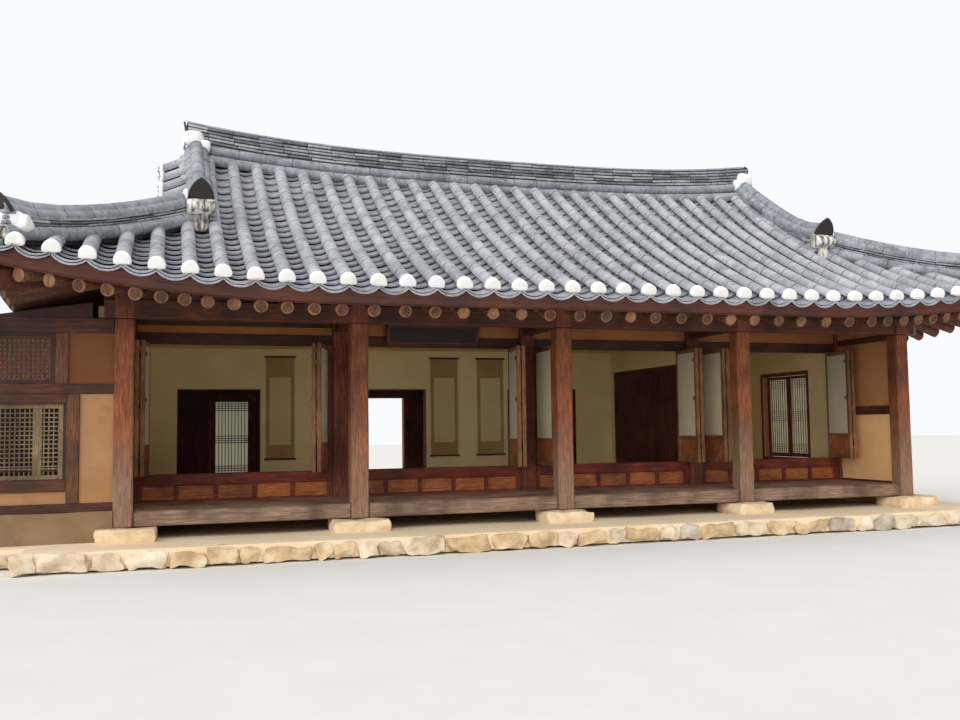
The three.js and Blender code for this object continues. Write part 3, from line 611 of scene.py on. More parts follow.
def mortarPlug(seed):
    # Lime pressed over the end of a cover row: round above, flat where it sits on the lips.
    part = bmesh.new()
    bmesh.ops.create_circle(part, cap_ends=True, segments=28, radius=1)
    for v in part.verts:
        x, z = v.co.x, v.co.y
        if z < 0:
            x = math.copysign(abs(x) ** 0.45, x)
            z = -abs(z) ** 0.45 * 0.42
        v.co = Vector((x * 0.081, -0.026, z * 0.083))
    back = vertsOf(bmesh.ops.extrude_face_region(part, geom=list(part.faces))["geom"])
    bmesh.ops.translate(part, vec=(0, 0.07, 0), verts=back)
    rims = [e for e in part.edges if all(v.co.y < 0 for v in e.verts)]
    bmesh.ops.bevel(part, geom=rims, offset=0.02, affect="EDGES", segments=3, profile=0.6, material=-1)
    for v in part.verts:
        v.co += Vector(noise.noise_vector(v.co * 14 + Vector((seed * 1.7, seed, 0)))) * 0.006
    bmesh.ops.recalc_face_normals(part, faces=part.faces)
    return part


def layMortar(bm, side):
    # Lime caps on the ends of the cover rows.
    start, rise = roof["coverStart"], roof["coverLift"]
    for k, along in rowPlaces(side):
        if rowEnd(side, along) < 0.12:
            continue
        foot = sidePoint(side, along, start, rise)
        ahead = sidePoint(side, along, start + 0.12, rise) - foot
        place = frameBetween(foot, foot + ahead, (0, 0, 1), scaleAlong=False)
        placeInto(bm, mortarPlug(k + 40 * halfOf(side)), place)


slopes = {"front": "roof_front", "back": "roof_back", "right": "roof_right_skirt", "left": "roof_left_skirt"}
for side, node in slopes.items():
    tiles = bmesh.new()
    layTiles(tiles, side)
    makePiece(f"{side}_roof_tiles", tiles, slopeTile, (node,), smooth=True)
    caps = bmesh.new()
    layMortar(caps, side)
    makePiece(f"{side}_tile_end_mortar", caps, lime, smooth=True)
print("tiles laid")


# Runs of tiles and boards along a line

def sweepOutline(bm, frames, outline):
    # Carries a closed outline of (across, up) points through the frames.
    ring = bmesh.ops.create_circle(bm, segments=len(outline), radius=1)["verts"]
    shape = [Vector((across, 0, up)) for across, up in outline]
    for v, point in zip(ring, shape):
        v.co = frames[0] @ point
    edges = list({e for v in ring for e in v.link_edges if e.other_vert(v) in ring})
    first = list(edges)
    faces = []
    for place in frames[1:]:
        made = bmesh.ops.extrude_edge_only(bm, edges=edges)["geom"]
        fresh = set(vertsOf(made))
        faces += [g for g in made if isinstance(g, bmesh.types.BMFace)]
        for old, point in zip(ring, shape):
            new = next(e.other_vert(old) for e in old.link_edges if e.other_vert(old) in fresh)
            new.co = place @ point
            ring[ring.index(old)] = new
        edges = [e for e in bm.edges if e.verts[0] in fresh and e.verts[1] in fresh]
    for end in (first, edges):
        faces += bmesh.ops.contextual_create(bm, geom=end)["faces"]
    bmesh.ops.recalc_face_normals(bm, faces=faces)


def boxOutline(x0, x1, z0, z1):
    return [(x0, z0), (x1, z0), (x1, z1), (x0, z1)]


def levelFrame(point, ahead):
    flat = Vector((ahead[0], ahead[1], 0)).normalized()
    across = Vector((flat.y, -flat.x, 0))
    turn = Matrix((across, flat, Vector((0, 0, 1)))).transposed().to_4x4()
    return Matrix.Translation(point) @ turn


def layCovers(bm, path, length, radius, offset=(0.0, 0.0), roll=0.0):
    # Half-round tiles laid end to end along a path: path(s) gives a point, s in metres.
    s = 0.0
    reach = path.reach
    while s < reach - 0.04:
        end = min(s + length, reach)
        start, stop = path(s), path(end)
        ahead = (stop - start).normalized()
        side = Vector((ahead.y, -ahead.x, 0)).normalized()
        shift = side * (offset[0] + random.uniform(-0.003, 0.003)) + Vector((0, 0, offset[1]))
        width = radius / roof["coverRadius"]
        matrix = frameBetween(start + shift, stop + shift, (0, 0, 1), width=width)
        stampMesh(bm, coverTile, matrix @ Matrix.Rotation(math.radians(roll), 4, "Y"))
        s += length


def laySlabs(bm, path, length, width, low, high, layers):
    # Thin tiles laid flat in courses, with shadow gaps between them. low and high give the
    # band's heights at a place on the path.
    for layer in range(layers):
        s = -random.uniform(0, length * 0.6)
        while s < path.reach - 0.03:
            s0, s1 = max(s, 0.0), min(s + length - 0.006, path.reach)
            if s1 - s0 > 0.03:
                thick = (high(s0) - low(s0)) / layers * 0.66
                ends = []
                for at in (s0, s1):
                    level = low(at) + (high(at) - low(at)) * (layer + 0.5) / layers
                    spot = path(at)
                    ends.append(Vector((spot.x, spot.y, level + random.uniform(-0.004, 0.004))))
                tone = random.choice((0, 0, 1, 1, 0, 2))
                addBar(bm, ends[0], ends[1], width + random.uniform(-0.009, 0.009), thick, 0.004, tone)
            s += length


class Path:
    # A line through points given as functions of the distance along it.
    def __init__(self, reach, place):
        self.reach = reach
        self.place = place

    def __call__(self, s):
        return Vector(self.place(min(max(s, 0.0), self.reach)))


ridge = {
    "half": 4.2,
    "middleTop": 5.09,
    "endRise": 0.2,
    "lowRow": 4.605,
    "highRow": 4.735,
    "slabs": 4.805,
    "tile": 0.32,
}


def ridgeTop(x):
    return ridge["middleTop"] + ridge["endRise"] * (abs(x) / 4.15) ** 3


def lumpOf(bm, centre, size, seed, rough=0.012):
    # A hand-thrown lump of mortar.
    part = bmesh.new()
    bmesh.ops.create_icosphere(part, subdivisions=3, radius=0.5)
    for v in part.verts:
        square = Vector([math.copysign(abs(c * 2) ** 0.55, c) / 2 for c in v.co])
        v.co = Vector([c * s for c, s in zip(square, size)])
        v.co += Vector(noise.noise_vector(v.co * 9 + Vector((seed, 2 * seed, 5)))) * rough
    placeInto(bm, part, Matrix.Translation(centre))


def archTile(bm, matrix, width, height, thick):
    # The pointed end tile of a ridge, its face towards -Y of the frame.
    part = bmesh.new()
    bmesh.ops.create_circle(part, cap_ends=True, segments=28, radius=0.5)
    for v in part.verts:
        x, y = v.co.x, v.co.y
        point = math.sqrt(max(0.0, 1 - (abs(x) + 0.5) ** 2)) / 0.866
        v.co = Vector((x, 0, y * 0.12 if y < -1e-5 else point))
    bmesh.ops.scale(part, vec=(width, 1, height), verts=part.verts)
    back = vertsOf(bmesh.ops.extrude_face_region(part, geom=list(part.faces))["geom"])
    bmesh.ops.translate(part, vec=(0, thick, 0), verts=back)
    bmesh.ops.recalc_face_normals(part, faces=part.faces)
    placeInto(bm, part, matrix)


def turned(degrees, axis):
    return Matrix.Rotation(math.radians(degrees), 4, axis)


def buildMainRidge():
    bm = bmesh.new()
    half, tile, y = ridge["half"], ridge["tile"], roof["midY"]
    bend = lambda s: ridgeTop(s - half) - ridge["middleTop"]
    for face in (-1, 1):
        low = Path(2 * half, lambda s: (s - half, y, ridge["lowRow"] + bend(s) * 0.9))
        high = Path(2 * half, lambda s: (s - half, y, ridge["highRow"] + bend(s)))
        layCovers(bm, low, tile, 0.07, (face * 0.165, 0.0), face * 72)
        layCovers(bm, high, tile * 1.08, 0.066, (face * 0.12, 0.0), face * 82)
    line = Path(2 * half - 0.1, lambda s: (s - half + 0.05, y, 0))
    slabTop = lambda s: ridgeTop(s - half) - 0.066
    laySlabs(bm, line, tile, 0.3, lambda s: ridge["slabs"] + bend(s), slabTop, 5)
    top = Path(2 * half - 0.06, lambda s: (s - half + 0.03, y, ridgeTop(s - half) - 0.077))
    layCovers(bm, top, tile, 0.077)
    makePiece("main_ridge_tiles", bm, ridgeTiles, ("main_ridge",), smooth=True)
    core = bmesh.new()
    xs = [-half + 0.04 + (2 * half - 0.08) * i / 24 for i in range(25)]
    sweepOutline(core, [levelFrame((x, y, 0), (1, 0)) for x in xs], boxOutline(-0.13, 0.13, 4.5, 5))
    for v in core.verts:
        if v.co.z > 4.8:
            v.co.z = ridgeTop(v.co.x) - 0.055
    # The ridge core is near-black: painted shade in the gaps between the ridge tiles.
    makePiece("main_ridge_core", core, darkShadeFill)
    ends = bmesh.new()
    tips = bmesh.new()
    for side in (-1, 1):
        lumpOf(ends, (side * 4.08, y, 5.02), (0.26, 0.5, 0.23), 3 + side, 0.02)
        lumpOf(ends, (side * 3.95, y, 4.93), (0.15, 0.44, 0.2), 6 + side, 0.02)
        lumpOf(ends, (side * 4.12, y, 4.84), (0.17, 0.4, 0.3), 9 + side, 0.02)
        place = Matrix.Translation((side * 4.175, y, 5.14))
        archTile(tips, place @ (turned(90 * side, "Z") @ turned(12, "X")), 0.25, 0.155, 0.016)
    makePiece("main_ridge_mortar", ends, lime, smooth=True)
    makePiece("main_ridge_end_tiles", tips, darkTile, smooth=True)


# The four ridges that fall from the main ridge along a gable and run out over the hip. Runs
# and rises say how high each stands over the slope along its way.
fallRidge = {
    "runs": [0.42, 0.64, 1.0, 1.4, 1.9, 2.324],
    "rises": [0.52, 0.43, 0.37, 0.36, 0.37, 0.385],
    "x": 4.05,
    "start": 0.46,
    "stop": 2.36,
    "foot": (0.06, 0.3, 0.07, 0.125, 66),  # lift, tile length, radius, offset and roll of the foot rows
    "slabs": (0.27, 0.12, 0.16),  # width, and gaps below and above
    "shoulder": (0.15, 0.3, 0.07, 0.075, 24),
    "top": (0.077, 0.3),
}
hipRidge = {
    "runs": [0.12, 0.2, 0.3, 0.45, 0.6, 0.9, 1.2, 1.6, 1.7, 1.88],
    "rises": [0.405, 0.375, 0.355, 0.345, 0.337, 0.337, 0.341, 0.35, 0.353, 0.355],
    "start": 0.14,
    "stop": 1.9,
    "foot": (0.045, 0.3, 0.068, 0.1, 80),
    "slabs": (0.25, 0.108, 0.142),
    "shoulder": (0.135, 0.31, 0.068, 0.058, 24),
    "top": (0.076, 0.31),
}


def between(xs, ys, x):
    if x <= xs[0]:
        return ys[0]
    for i in range(len(xs) - 1):
        if x <= xs[i + 1]:
            k = (x - xs[i]) / (xs[i + 1] - xs[i])
            return ys[i] + (ys[i + 1] - ys[i]) * k
    return ys[-1]


def cornerMap(point, sideX, sideY):
    # From the front right corner to any of the four.
    x, y, z = point
    return Vector((x * sideX, y if sideY > 0 else house["depth"] - y, z))


def layRidge(tiles, shape, reach, runOf, pointAt):
    # Two foot rows, three courses of slabs, two shoulder rows and the row on top.
    rise = lambda s: between(shape["runs"], shape["rises"], runOf(s))
    line = Path(reach, lambda s: pointAt(runOf(s), 0))
    lift, length, radius, offset, roll = shape["foot"]
    for face in (-1, 1):
        row = Path(reach, lambda s: pointAt(runOf(s), lift))
        layCovers(tiles, row, length, radius, (face * offset, 0), face * roll)
    width, under, over = shape["slabs"]
    slabTop = lambda s: line(s).z + rise(s) - over
    laySlabs(tiles, line, 0.31, width, lambda s: line(s).z + under, slabTop, 3)
    drop, length, radius, offset, roll = shape["shoulder"]
    for face in (-1, 1):
        row = Path(reach, lambda s: pointAt(runOf(s), rise(s) - drop))
        layCovers(tiles, row, length, radius, (face * offset, 0), face * roll)
    drop, length = shape["top"]
    layCovers(tiles, Path(reach, lambda s: pointAt(runOf(s), rise(s) - drop)), length, drop)
    return line


def buildCornerRidge(name, sideX, sideY, node):
    tiles = bmesh.new()
    core = bmesh.new()
    mortar = bmesh.new()
    stained = bmesh.new()
    tips = bmesh.new()

    def hipPoint(t, lift):
        flare = flareAt(t, t)
        spot = (roof["halfX"] - t + flare, t - roof["overhang"] - flare, topHeight(t, t) + lift)
        return cornerMap(spot, sideX, sideY)

    start, stop = hipRidge["start"], hipRidge["stop"]
    reach = (stop - start) * math.sqrt(2)
    flat = layRidge(tiles, hipRidge, reach, lambda s: start + s / math.sqrt(2), hipPoint)
    frames = []
    for i in range(16):
        s = 0.03 + (reach - 0.03) * i / 15
        frames.append(levelFrame(flat(s), (flat(reach) - flat(0))))
    sweepOutline(core, frames, boxOutline(-0.1, 0.1, -0.06, 0.24))
    ahead = (flat(reach) - flat(0)).normalized()
    tip = hipPoint(0.17, 0)
    up = lambda z: Vector((0, 0, z))
    archTile(tips, levelFrame(tip + up(0.225), ahead) @ turned(32, "X"), 0.3, 0.25, 0.03)
    lumpOf(mortar, tip + ahead * 0.06 + up(0.14), (0.27, 0.26, 0.17), 12 + sideX + 3 * sideY, 0.04)
    for way in (-1, 1):
        across = Vector((-ahead.y, ahead.x, 0)).normalized() * way * 0.12
        lumpOf(mortar, tip + ahead * 0.13 + across + up(0.12), (0.15, 0.19, 0.17), 15 + sideX + way, 0.04)
    lumpOf(stained, tip + up(0.04), (0.2, 0.2, 0.12), 18 + sideX, 0.02)

    def fallPoint(y, lift):
        height = topHeight(roof["cornerReach"], y + roof["overhang"]) + lift
        return cornerMap((fallRidge["x"], y, height), sideX, sideY)

    y0, y1 = fallRidge["start"], fallRidge["stop"]
    riseAt = lambda y: between(fallRidge["runs"], fallRidge["rises"], y)
    layRidge(tiles, fallRidge, y1 - y0, lambda s: y0 + s, fallPoint)
    inward = Vector((0, sideY, 0))
    frames = []
    for i in range(12):
        y = y0 + 0.03 + (y1 - y0 - 0.03) * i / 11
        frames.append(levelFrame(fallPoint(y, riseAt(y) - 0.3), inward))
    sweepOutline(core, frames, boxOutline(-0.11, 0.11, -0.1, 0.2))
    foot = fallPoint(y0 - 0.03, riseAt(y0))
    archTile(tips, levelFrame(foot - up(0.152), inward) @ turned(27, "X"), 0.28, 0.235, 0.03)
    barrel = bmesh.new()
    bmesh.ops.create_cone(barrel, cap_ends=True, segments=18, radius1=0.095, radius2=0.095, depth=0.3)
    rims = [e for e in barrel.edges if len({round(v.co.z, 3) for v in e.verts}) == 1]
    bmesh.ops.bevel(barrel, geom=rims, offset=0.014, affect="EDGES", segments=2, profile=0.5, material=-1)
    for v in barrel.verts:
        v.co += Vector(noise.noise_vector(v.co * 11)) * 0.006
    placeInto(stained, barrel, Matrix.Translation(foot + up(-0.24) + inward * 0.03) @ turned(90, "Y"))
    under = foot + Vector((0, 0.08 * sideY, -0.38))
    lumpOf(stained, under, (0.2, 0.14, 0.24), 21 + sideX + 2 * sideY, 0.03)
    beside = foot + Vector((sideX * 0.155, 0.1 * sideY, -0.2))
    lumpOf(mortar, beside, (0.07, 0.16, 0.33), 25 + 2 * sideX, 0.04)
    makePiece(f"{name}_ridge_tiles", tiles, ridgeTiles, (node,), smooth=True)
    # The ridge cores are near-black: painted shade in the gaps between the ridge tiles.
    makePiece(f"{name}_ridge_core", core, darkShadeFill)
    makePiece(f"{name}_ridge_mortar", mortar, lime, smooth=True)
    makePiece(f"{name}_stained_mortar", stained, stainedLime, smooth=True)
    makePiece(f"{name}_ridge_end_tiles", tips, darkTile, smooth=True)


ridgeTiles = [ridgeTile, wetRidge, paleRidge]
buildMainRidge()
for name, sideX, sideY in (("front_right", 1, 1), ("front_left", -1, 1),
                           ("back_right", 1, -1), ("back_left", -1, -1)):
    buildCornerRidge(name, sideX, sideY, f"{name}_ridge")
print("ridges laid")


# The verge: short rows laid sideways over the gable's edge.

def gableTop(y):
    return topHeight(roof["cornerReach"], y + roof["overhang"])


def buildVerge(name, sideX):
    tiles = bmesh.new()
    mortar = bmesh.new()
    edge = roof["vergeX"]
    for sideY in (-1, 1):
        at = lambda x, y, z: cornerMap((x, y, z), sideX, sideY)
        for i in range(7):
            y = 0.7 + 0.285 * i
            z = gableTop(y)
            up = Vector((0.45 * sideX, -0.5 * sideY, 1))
            if i < 6:
                start = at(edge + 0.015, y, z + 0.02)
                stampMesh(tiles, coverTile, frameBetween(start, at(4.13, y, z + 0.17), up))
                lumpOf(mortar, at(edge + 0.015, y, z + 0.025), (0.05, 0.19, 0.17), 31 + i, 0.02)
            z = gableTop(y - 0.15)
            y -= 0.142
            hollow = frameBetween(at(edge + 0.05, y, z - 0.01), at(4.13, y, z + 0.15), up, width=0.95)
            stampMesh(tiles, channelTile, hollow)
            lumpOf(mortar, at(edge + 0.02, y, z - 0.035), (0.035, 0.17, 0.07), 37 + i, 0.015)
    makePiece(f"{name}_verge_tiles", tiles, slopeTile, smooth=True)
    makePiece(f"{name}_verge_mortar", mortar, lime, smooth=True)


# Gables: upright boards between the skirt and the verge, and the barge boards.

def buildGable(name, sideX):
    boards = []
    foot = gableTop(0.55) - 0.2
    pitch = 0.19
    x0, x1 = sorted((sideX * 4.256, sideX * 4.256 + sideX * 0.022))
    for i in range(-12, 13):
        y = roof["midY"] + i * pitch
        high = gableTop(min(y, house["depth"] - y)) - 0.06
        if high - foot >= 0.05:
            boards.append(((x0, y - pitch / 2 + 0.003, foot), (x1, y + pitch / 2 - 0.003, high)))
    boxPiece(f"{name}_gable_boards", boards, boardTimber, 0.003)
    barge = bmesh.new()
    for sideY in (-1, 1):
        for j in range(9):
            ys = 0.42 + j * 0.2285, 0.42 + (j + 1) * 0.2285
            start, stop = (cornerMap((4.433, y, gableTop(y) - 0.3), sideX, sideY) for y in ys)
            addBar(barge, start, stop + (stop - start).normalized() * 0.004, 0.045, 0.26)
    x0, x1 = sorted((sideX * 4.405, sideX * 4.45))
    addBox(barge, (x0, roof["midY"] - 0.11, 4.2), (x1, roof["midY"] + 0.11, 4.6), 0.004)
    makePiece(f"{name}_barge_boards", barge, timberDarkY)


for build in (buildVerge, buildGable):
    build("right", 1)
    build("left", -1)


# The bed of clay that the tiles lie in, near-black as painted shade under the tiles.

def buildBed(side):
    bm = bmesh.new()
    bmesh.ops.create_grid(bm, x_segments=40, y_segments=14, size=1.0)
    top = 3.47 if isLong(side) else 1.71
    for v in bm.verts:
        t = (v.co.y + 1) / 2 * top + 0.045
        width = halfOf(side) - t
        if isLong(side):
            width = max(width, roof["gableX"])
        v.co = sidePoint(side, v.co.x * width, t, -0.105)
    thicken(bm, 0.05)
    makePiece(f"{side}_roof_bed", bm, darkShadeFill)


for side in slopes:
    buildBed(side)


# Eaves: round rafters with sawn ends, boards on them and the scalloped eave board.

rafters = {
    "radius": 0.066,
    "pitch": 0.29,
    "drop": 0.096,
    "endRun": 0.095,
    "front": [-5.66, -5.41, -5.16, -4.92, -4.68, -4.45, -4.24, -4.03, -3.79, -3.54, -3.29, -3.03, -2.76,
              -2.44, -2.12, -1.81, -1.51, -1.19, -0.88, -0.56, -0.22, 0.09, 0.38, 0.68, 1.0, 1.32, 1.62,
              1.93, 2.25, 2.55, 2.89, 3.21, 3.53, 3.76, 3.99, 4.2, 4.42, 4.62, 4.84, 5.06, 5.27, 5.48,
              5.68],
}


def soffit(d, t):
    along = max(0.0, 1 - max(0.0, d) / roof["cornerReach"])
    inward = max(0.0, 1 - max(0.0, t) / 2.6)
    return 2.505 + 0.3 * along ** 2.2 * inward + 0.4 * t


def soffitPoint(side, along, t, lift=0.0):
    point = sidePoint(side, along, t)
    point.z = soffit(halfOf(side) - abs(along), t) + lift
    return point


def addScalloped(bm, frames, tops, half, bottom):
    # A board on edge whose top follows the undersides of the hollow tiles.
    part = bmesh.new()
    sweepOutline(part, frames, boxOutline(-half, half, bottom, 0.0))
    part.verts.ensure_lookup_table()
    for i, v in enumerate(part.verts):
        if i % 4 in (2, 3):
            v.co.z = frames[i // 4].translation.z + tops[i // 4]
    placeInto(bm, part, Matrix.Identity(4))


def buildEave(side, node):
    lengthwise = isLong(side)
    half = halfOf(side)
    straight = 4.3 if lengthwise else 1.975
    innerRun = {"front": 2.26, "back": 1.19}.get(side, 1.22)
    logs = bmesh.new()
    count = int((half - 0.26) / rafters["pitch"])
    places = [k * rafters["pitch"] for k in range(-count, count + 1)]
    for outer in rafters["front"] if side == "front" else places:
        beyond = max(0.0, abs(outer) - straight)
        inner = math.copysign(abs(outer) - 0.72 * beyond, outer) if outer else 0.0
        run = innerRun if beyond == 0 else 1.22
        start = soffitPoint(side, outer, rafters["endRun"], -rafters["drop"])
        if half - abs(inner) < run + 0.02:
            run = (half - abs(inner)) * 0.985
        end = soffitPoint(side, inner, run, -rafters["drop"])
        heart = 2 if random.random() < 0.6 else 0
        woodLog(logs, start, end, rafters["radius"] * random.uniform(0.97, 1.04), heart=heart)
    pine = rafterTimber if lengthwise else sideRafterTimber
    makePiece(f"{side}_rafters", logs, [pine, endGrain, darkEnd], (node,), smooth=True)
    boards = bmesh.new()
    bmesh.ops.create_grid(boards, x_segments=48, y_segments=6, size=1.0)
    for v in boards.verts:
        t = 0.06 + (v.co.y + 1) / 2 * (innerRun + 0.03 - 0.06)
        width = 4.2 if side == "front" and t > 1.75 else half - t
        v.co = soffitPoint(side, v.co.x * width, t, -0.034)
    thicken(boards, -0.03)
    makePiece(f"{side}_eave_boards", boards, timberX if lengthwise else timberY)
    fascia = bmesh.new()
    pitch = roof["rowPitch"]
    shift = roof["rowShift"] if lengthwise else 0.0
    steps = int(2 * half / pitch * 8)
    frames = []
    tops = []
    for i in range(steps + 1):
        along = -half + 0.05 + (2 * half - 0.1) * i / steps
        ahead = sidePoint(side, along + 0.01, 0.05) - sidePoint(side, along - 0.01, 0.05)
        frames.append(levelFrame(sidePoint(side, along, 0.05), ahead))
        reach = (((along - shift) / pitch) % 1.0 - 0.5) * pitch
        hollow = math.sqrt(max(roof["channelRadius"] ** 2 - reach ** 2, 0))
        tops.append(0.148 - hollow - 0.052)
    addScalloped(fascia, frames, tops, 0.022, -0.155)
    low = bmesh.new()
    sweepOutline(low, frames[::4] + [frames[-1]], boxOutline(-0.034, 0.034, -0.206, -0.148))
    placeInto(fascia, low, Matrix.Identity(4))
    makePiece(f"{side}_eave_fascia", fascia, timberRed)


def buildHipBeams():
    bm = bmesh.new()
    for sideX in (-1, 1):
        for sideY in (-1, 1):
            start = cornerMap((5.87, -1.07, soffit(0.08, 0.08) - 0.18), sideX, sideY)
            end = cornerMap((4.55, 0.25, soffit(1.4, 1.4) - 0.18), sideX, sideY)
            addBar(bm, start, end, 0.17, 0.19, 0.012)
    makePiece("hip_beams", bm, timberX)


for side in slopes:
    buildEave(side, f"{side}_eave")
buildHipBeams()
print("roof finished")


# Timber frame

def buildColumns():
    foot, top, half = house["foot"], house["columnTop"], house["halfColumn"]
    for i, x in enumerate(house["columns"]):
        bm = bmesh.new()
        addBox(bm, (x - half, -half, foot + 0.0005), (x + half, half, top), 0.014)
        upright = [e for e in bm.edges if abs(e.verts[0].co.z - e.verts[1].co.z) > 1]
        bmesh.ops.subdivide_edges(bm, edges=upright, cuts=12)
        for v in bm.verts:
            if foot + 0.01 < v.co.z < top - 0.01:
                v.co += Vector(noise.noise_vector(v.co * 1.7 + Vector((i * 3, 0, 0)))) * 0.004
        makePiece(f"front_column_{i + 1}_post", bm, timberZ, (f"front_column_{i + 1}",), smooth=True)


def buildPurlin():
    half = house["halfColumn"]
    beam = [((-5.0, -half, 2.427), (5.0, half, 2.62)), ((-5.0, -half + 0.03, 2.61), (5.0, half - 0.03, 2.74))]
    boxPiece("front_purlin_beam", beam, timberX, 0.01, ("front_purlin",))
    ends = [((x, -0.09, 2.43), (x + 0.15, 0.09, 2.545)) for x in (-5.05, 4.9)]
    boxPiece("purlin_end_blocks", ends, beamTimber, 0.008)
    # The heads take the darker post timber as painted shade of the eave.
    heads = [((x - 0.096, -0.112, 2.428), (x + 0.096, 0.1, 2.74)) for x in house["columns"]]
    boxPiece("column_heads", heads, timberDarkZ, 0.012)
    ties = [((x - 0.07, 0.1, 2.44), (x + 0.07, 1.15, 2.6)) for x in house["columns"][1:-1]]
    boxPiece("column_head_beams", ties, boardTimber, 0.01)


def buildInnerFrame():
    y, inside = house["verandaDepth"], house["insideX"]
    posts, rails, sills, panels, stiles = [], [], [], [], []

    def board(x0, x1, half, z0, z1, bevel):
        return (x0, y - half, z0), (x1, y + half, z1), bevel

    for x in house["columns"]:
        posts.append(board(max(x - 0.095, -inside), min(x + 0.095, inside), 0.095, 0.321, 2.62, 0.01))
        for edge in (x - 0.16, x + 0.16):
            if abs(edge) < inside:
                posts.append(board(min(x, edge), max(x, edge), 0.044, 0.325, 2.405, 0.006))
    for bay in range(4):
        x0 = house["columns"][bay] + (0.1 if bay else 0.06)
        x1 = house["columns"][bay + 1] - 0.1
        sills.append(board(x0, x1, 0.05, 0.66, house["sill"], 0.008))
        sills.append(board(x0, x1, 0.05, 0.33, 0.5, 0.006))
        width = (x1 - x0 - 0.06) / house["panels"]
        for i in range(house["panels"] + 1):
            middle = x0 + 0.03 + i * width
            stiles.append(board(middle - 0.024, middle + 0.024, 0.04, 0.49, 0.67, 0.004))
        for i in range(house["panels"]):
            left = x0 + 0.03 + i * width + 0.024
            panels.append(board(left, left + width - 0.048, 0.014, 0.5, 0.66, 0.0))
            panels.append(board(left + 0.035, left + width - 0.083, 0.022, 0.53, 0.632, 0.006))
        rails.append(board(x0, x1, 0.05, house["headerLow"], 2.4, 0.008))
        rails.append(board(x0, x1, 0.06, 2.57 if bay else 2.49, 2.75, 0.008))
    boxPiece("inner_posts", posts, timberDarkZ, nodes=("inner_frame",))
    boxPiece("inner_rails", rails, timberDarkX)
    boxPiece("wainscot_rails", sills, sillTimber)
    boxPiece("wainscot_panels", panels, timberPanel)
    boxPiece("wainscot_stiles", stiles, sillTimber)
    # The lintel plaster is darkened as painted shade under the veranda roof.
    boxPiece("lintel_plaster", [board(-inside, inside, 0.03, 2.39, 3.1, 0.0)], lintelPlaster)


def buildFloors():
    boards = []
    first, back, count = 0.065, 1.149, 9
    step = (back - first) / count
    bays = [(a + 0.1, b - 0.1) for a, b in zip(house["columns"], house["columns"][1:])]
    for x0, x1 in bays:
        for i in range(count):
            y = first + i * step
            top = house["floor"] + random.uniform(-0.0015, 0.0015)
            boards.append(((x0 - 0.098, y + 0.0015, 0.446), (x1 + 0.098, y + step - 0.0015, top)))
    boxPiece("veranda_boards", boards, floorTimber, 0.003, ("veranda_floor",))
    beams = [((x0 - 0.004, -0.062, 0.325), (x1 + 0.004, 0.062, 0.478)) for x0, x1 in bays]
    boxPiece("veranda_front_beams", beams, beamTimber, 0.012)
    joists = [((x - 0.05, 0.1, 0.33), (x + 0.05, 1.14, 0.44)) for x in house["columns"][1:-1]]
    boxPiece("veranda_joists", joists, timberDarkX)


buildColumns()
buildPurlin()
buildInnerFrame()
buildFloors()
print("frame built")


# Walls: linings and timbers laid over the solid walls

def dressNode(node, material):
    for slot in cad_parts[node].material_slots:
        slot.material = material


def inPlane(axis, near, far, a, b, c, d):
    # The corners of a box that runs from a to b along a wall and from c to d up it.
    if axis == "y":
        return (a, near, c), (b, far, d)
    return (near, a, c), (far, b, d)


def sheetWithHoles(axis, near, far, u0, u1, z0, z1, holes=()):
    # Boxes of a lining in a wall's plane, cut round its doorways. holes are (u0, u1, z0, z1).
    inside = lambda value, low, high: min(max(value, low), high)
    us = sorted({u0, u1, *[inside(h[i], u0, u1) for h in holes for i in (0, 1)]})
    zs = sorted({z0, z1, *[inside(h[i], z0, z1) for h in holes for i in (2, 3)]})
    boxes = []
    for a, b in zip(us, us[1:]):
        for c, d in zip(zs, zs[1:]):
            mu, mz = (a + b) / 2, (c + d) / 2
            if not any(h[0] < mu < h[1] and h[2] < mz < h[3] for h in holes):
                boxes.append(inPlane(axis, near, far, a, b, c, d))
    return boxes


# Doorways as (from, to) along their wall, with the height of their heads.
backDoors = [(-3.715, -3.126), (-1.680, -0.720)]
innerDoors = [(-4.243, -3.115), (-1.820, -0.693), (0.600, 1.735)]
backHead, innerHead = 1.76, 1.853
sideDoor = (1.853, 2.964, 0.754, 2.013)
doorFrame = 0.07
wallFoot, wallTop = 0.498, 2.424
backOfRooms = 4.89


def buildLinings():
    inside = house["insideX"]
    holes = [(a, b, 0.4, innerHead) for a, b in innerDoors]
    linings = []
    for near, far in ((3.587, 3.5951), (3.7049, 3.713)):
        linings += sheetWithHoles("y", near, far, -inside, inside, wallFoot, wallTop, holes)
    linings += sheetWithHoles("x", 4.737, 4.7451, 1.3, backOfRooms, wallFoot, wallTop, [sideDoor])
    linings += sheetWithHoles("x", -4.7451, -4.737, 1.3, backOfRooms, wallFoot, wallTop)
    boxPiece("room_wall_paper", linings, roomPaper, 0.0)
    holes = [(a, b, 0.4, backHead) for a, b in backDoors]
    boards = [(*box, 0.0) for box in
              sheetWithHoles("y", 4.887, 4.8951, -inside, inside, wallFoot, wallTop, holes)]
    for x in (-4.2, -3.95, -2.7, -0.3, 0.4, 1.1, 1.8):
        boards.append(((x - 0.02, 4.878, wallFoot), (x + 0.02, 4.888, wallTop), 0.002))
    boxPiece("back_room_boards", boards, boardTimber)
    dressNode("room_ceiling", roomPaper)


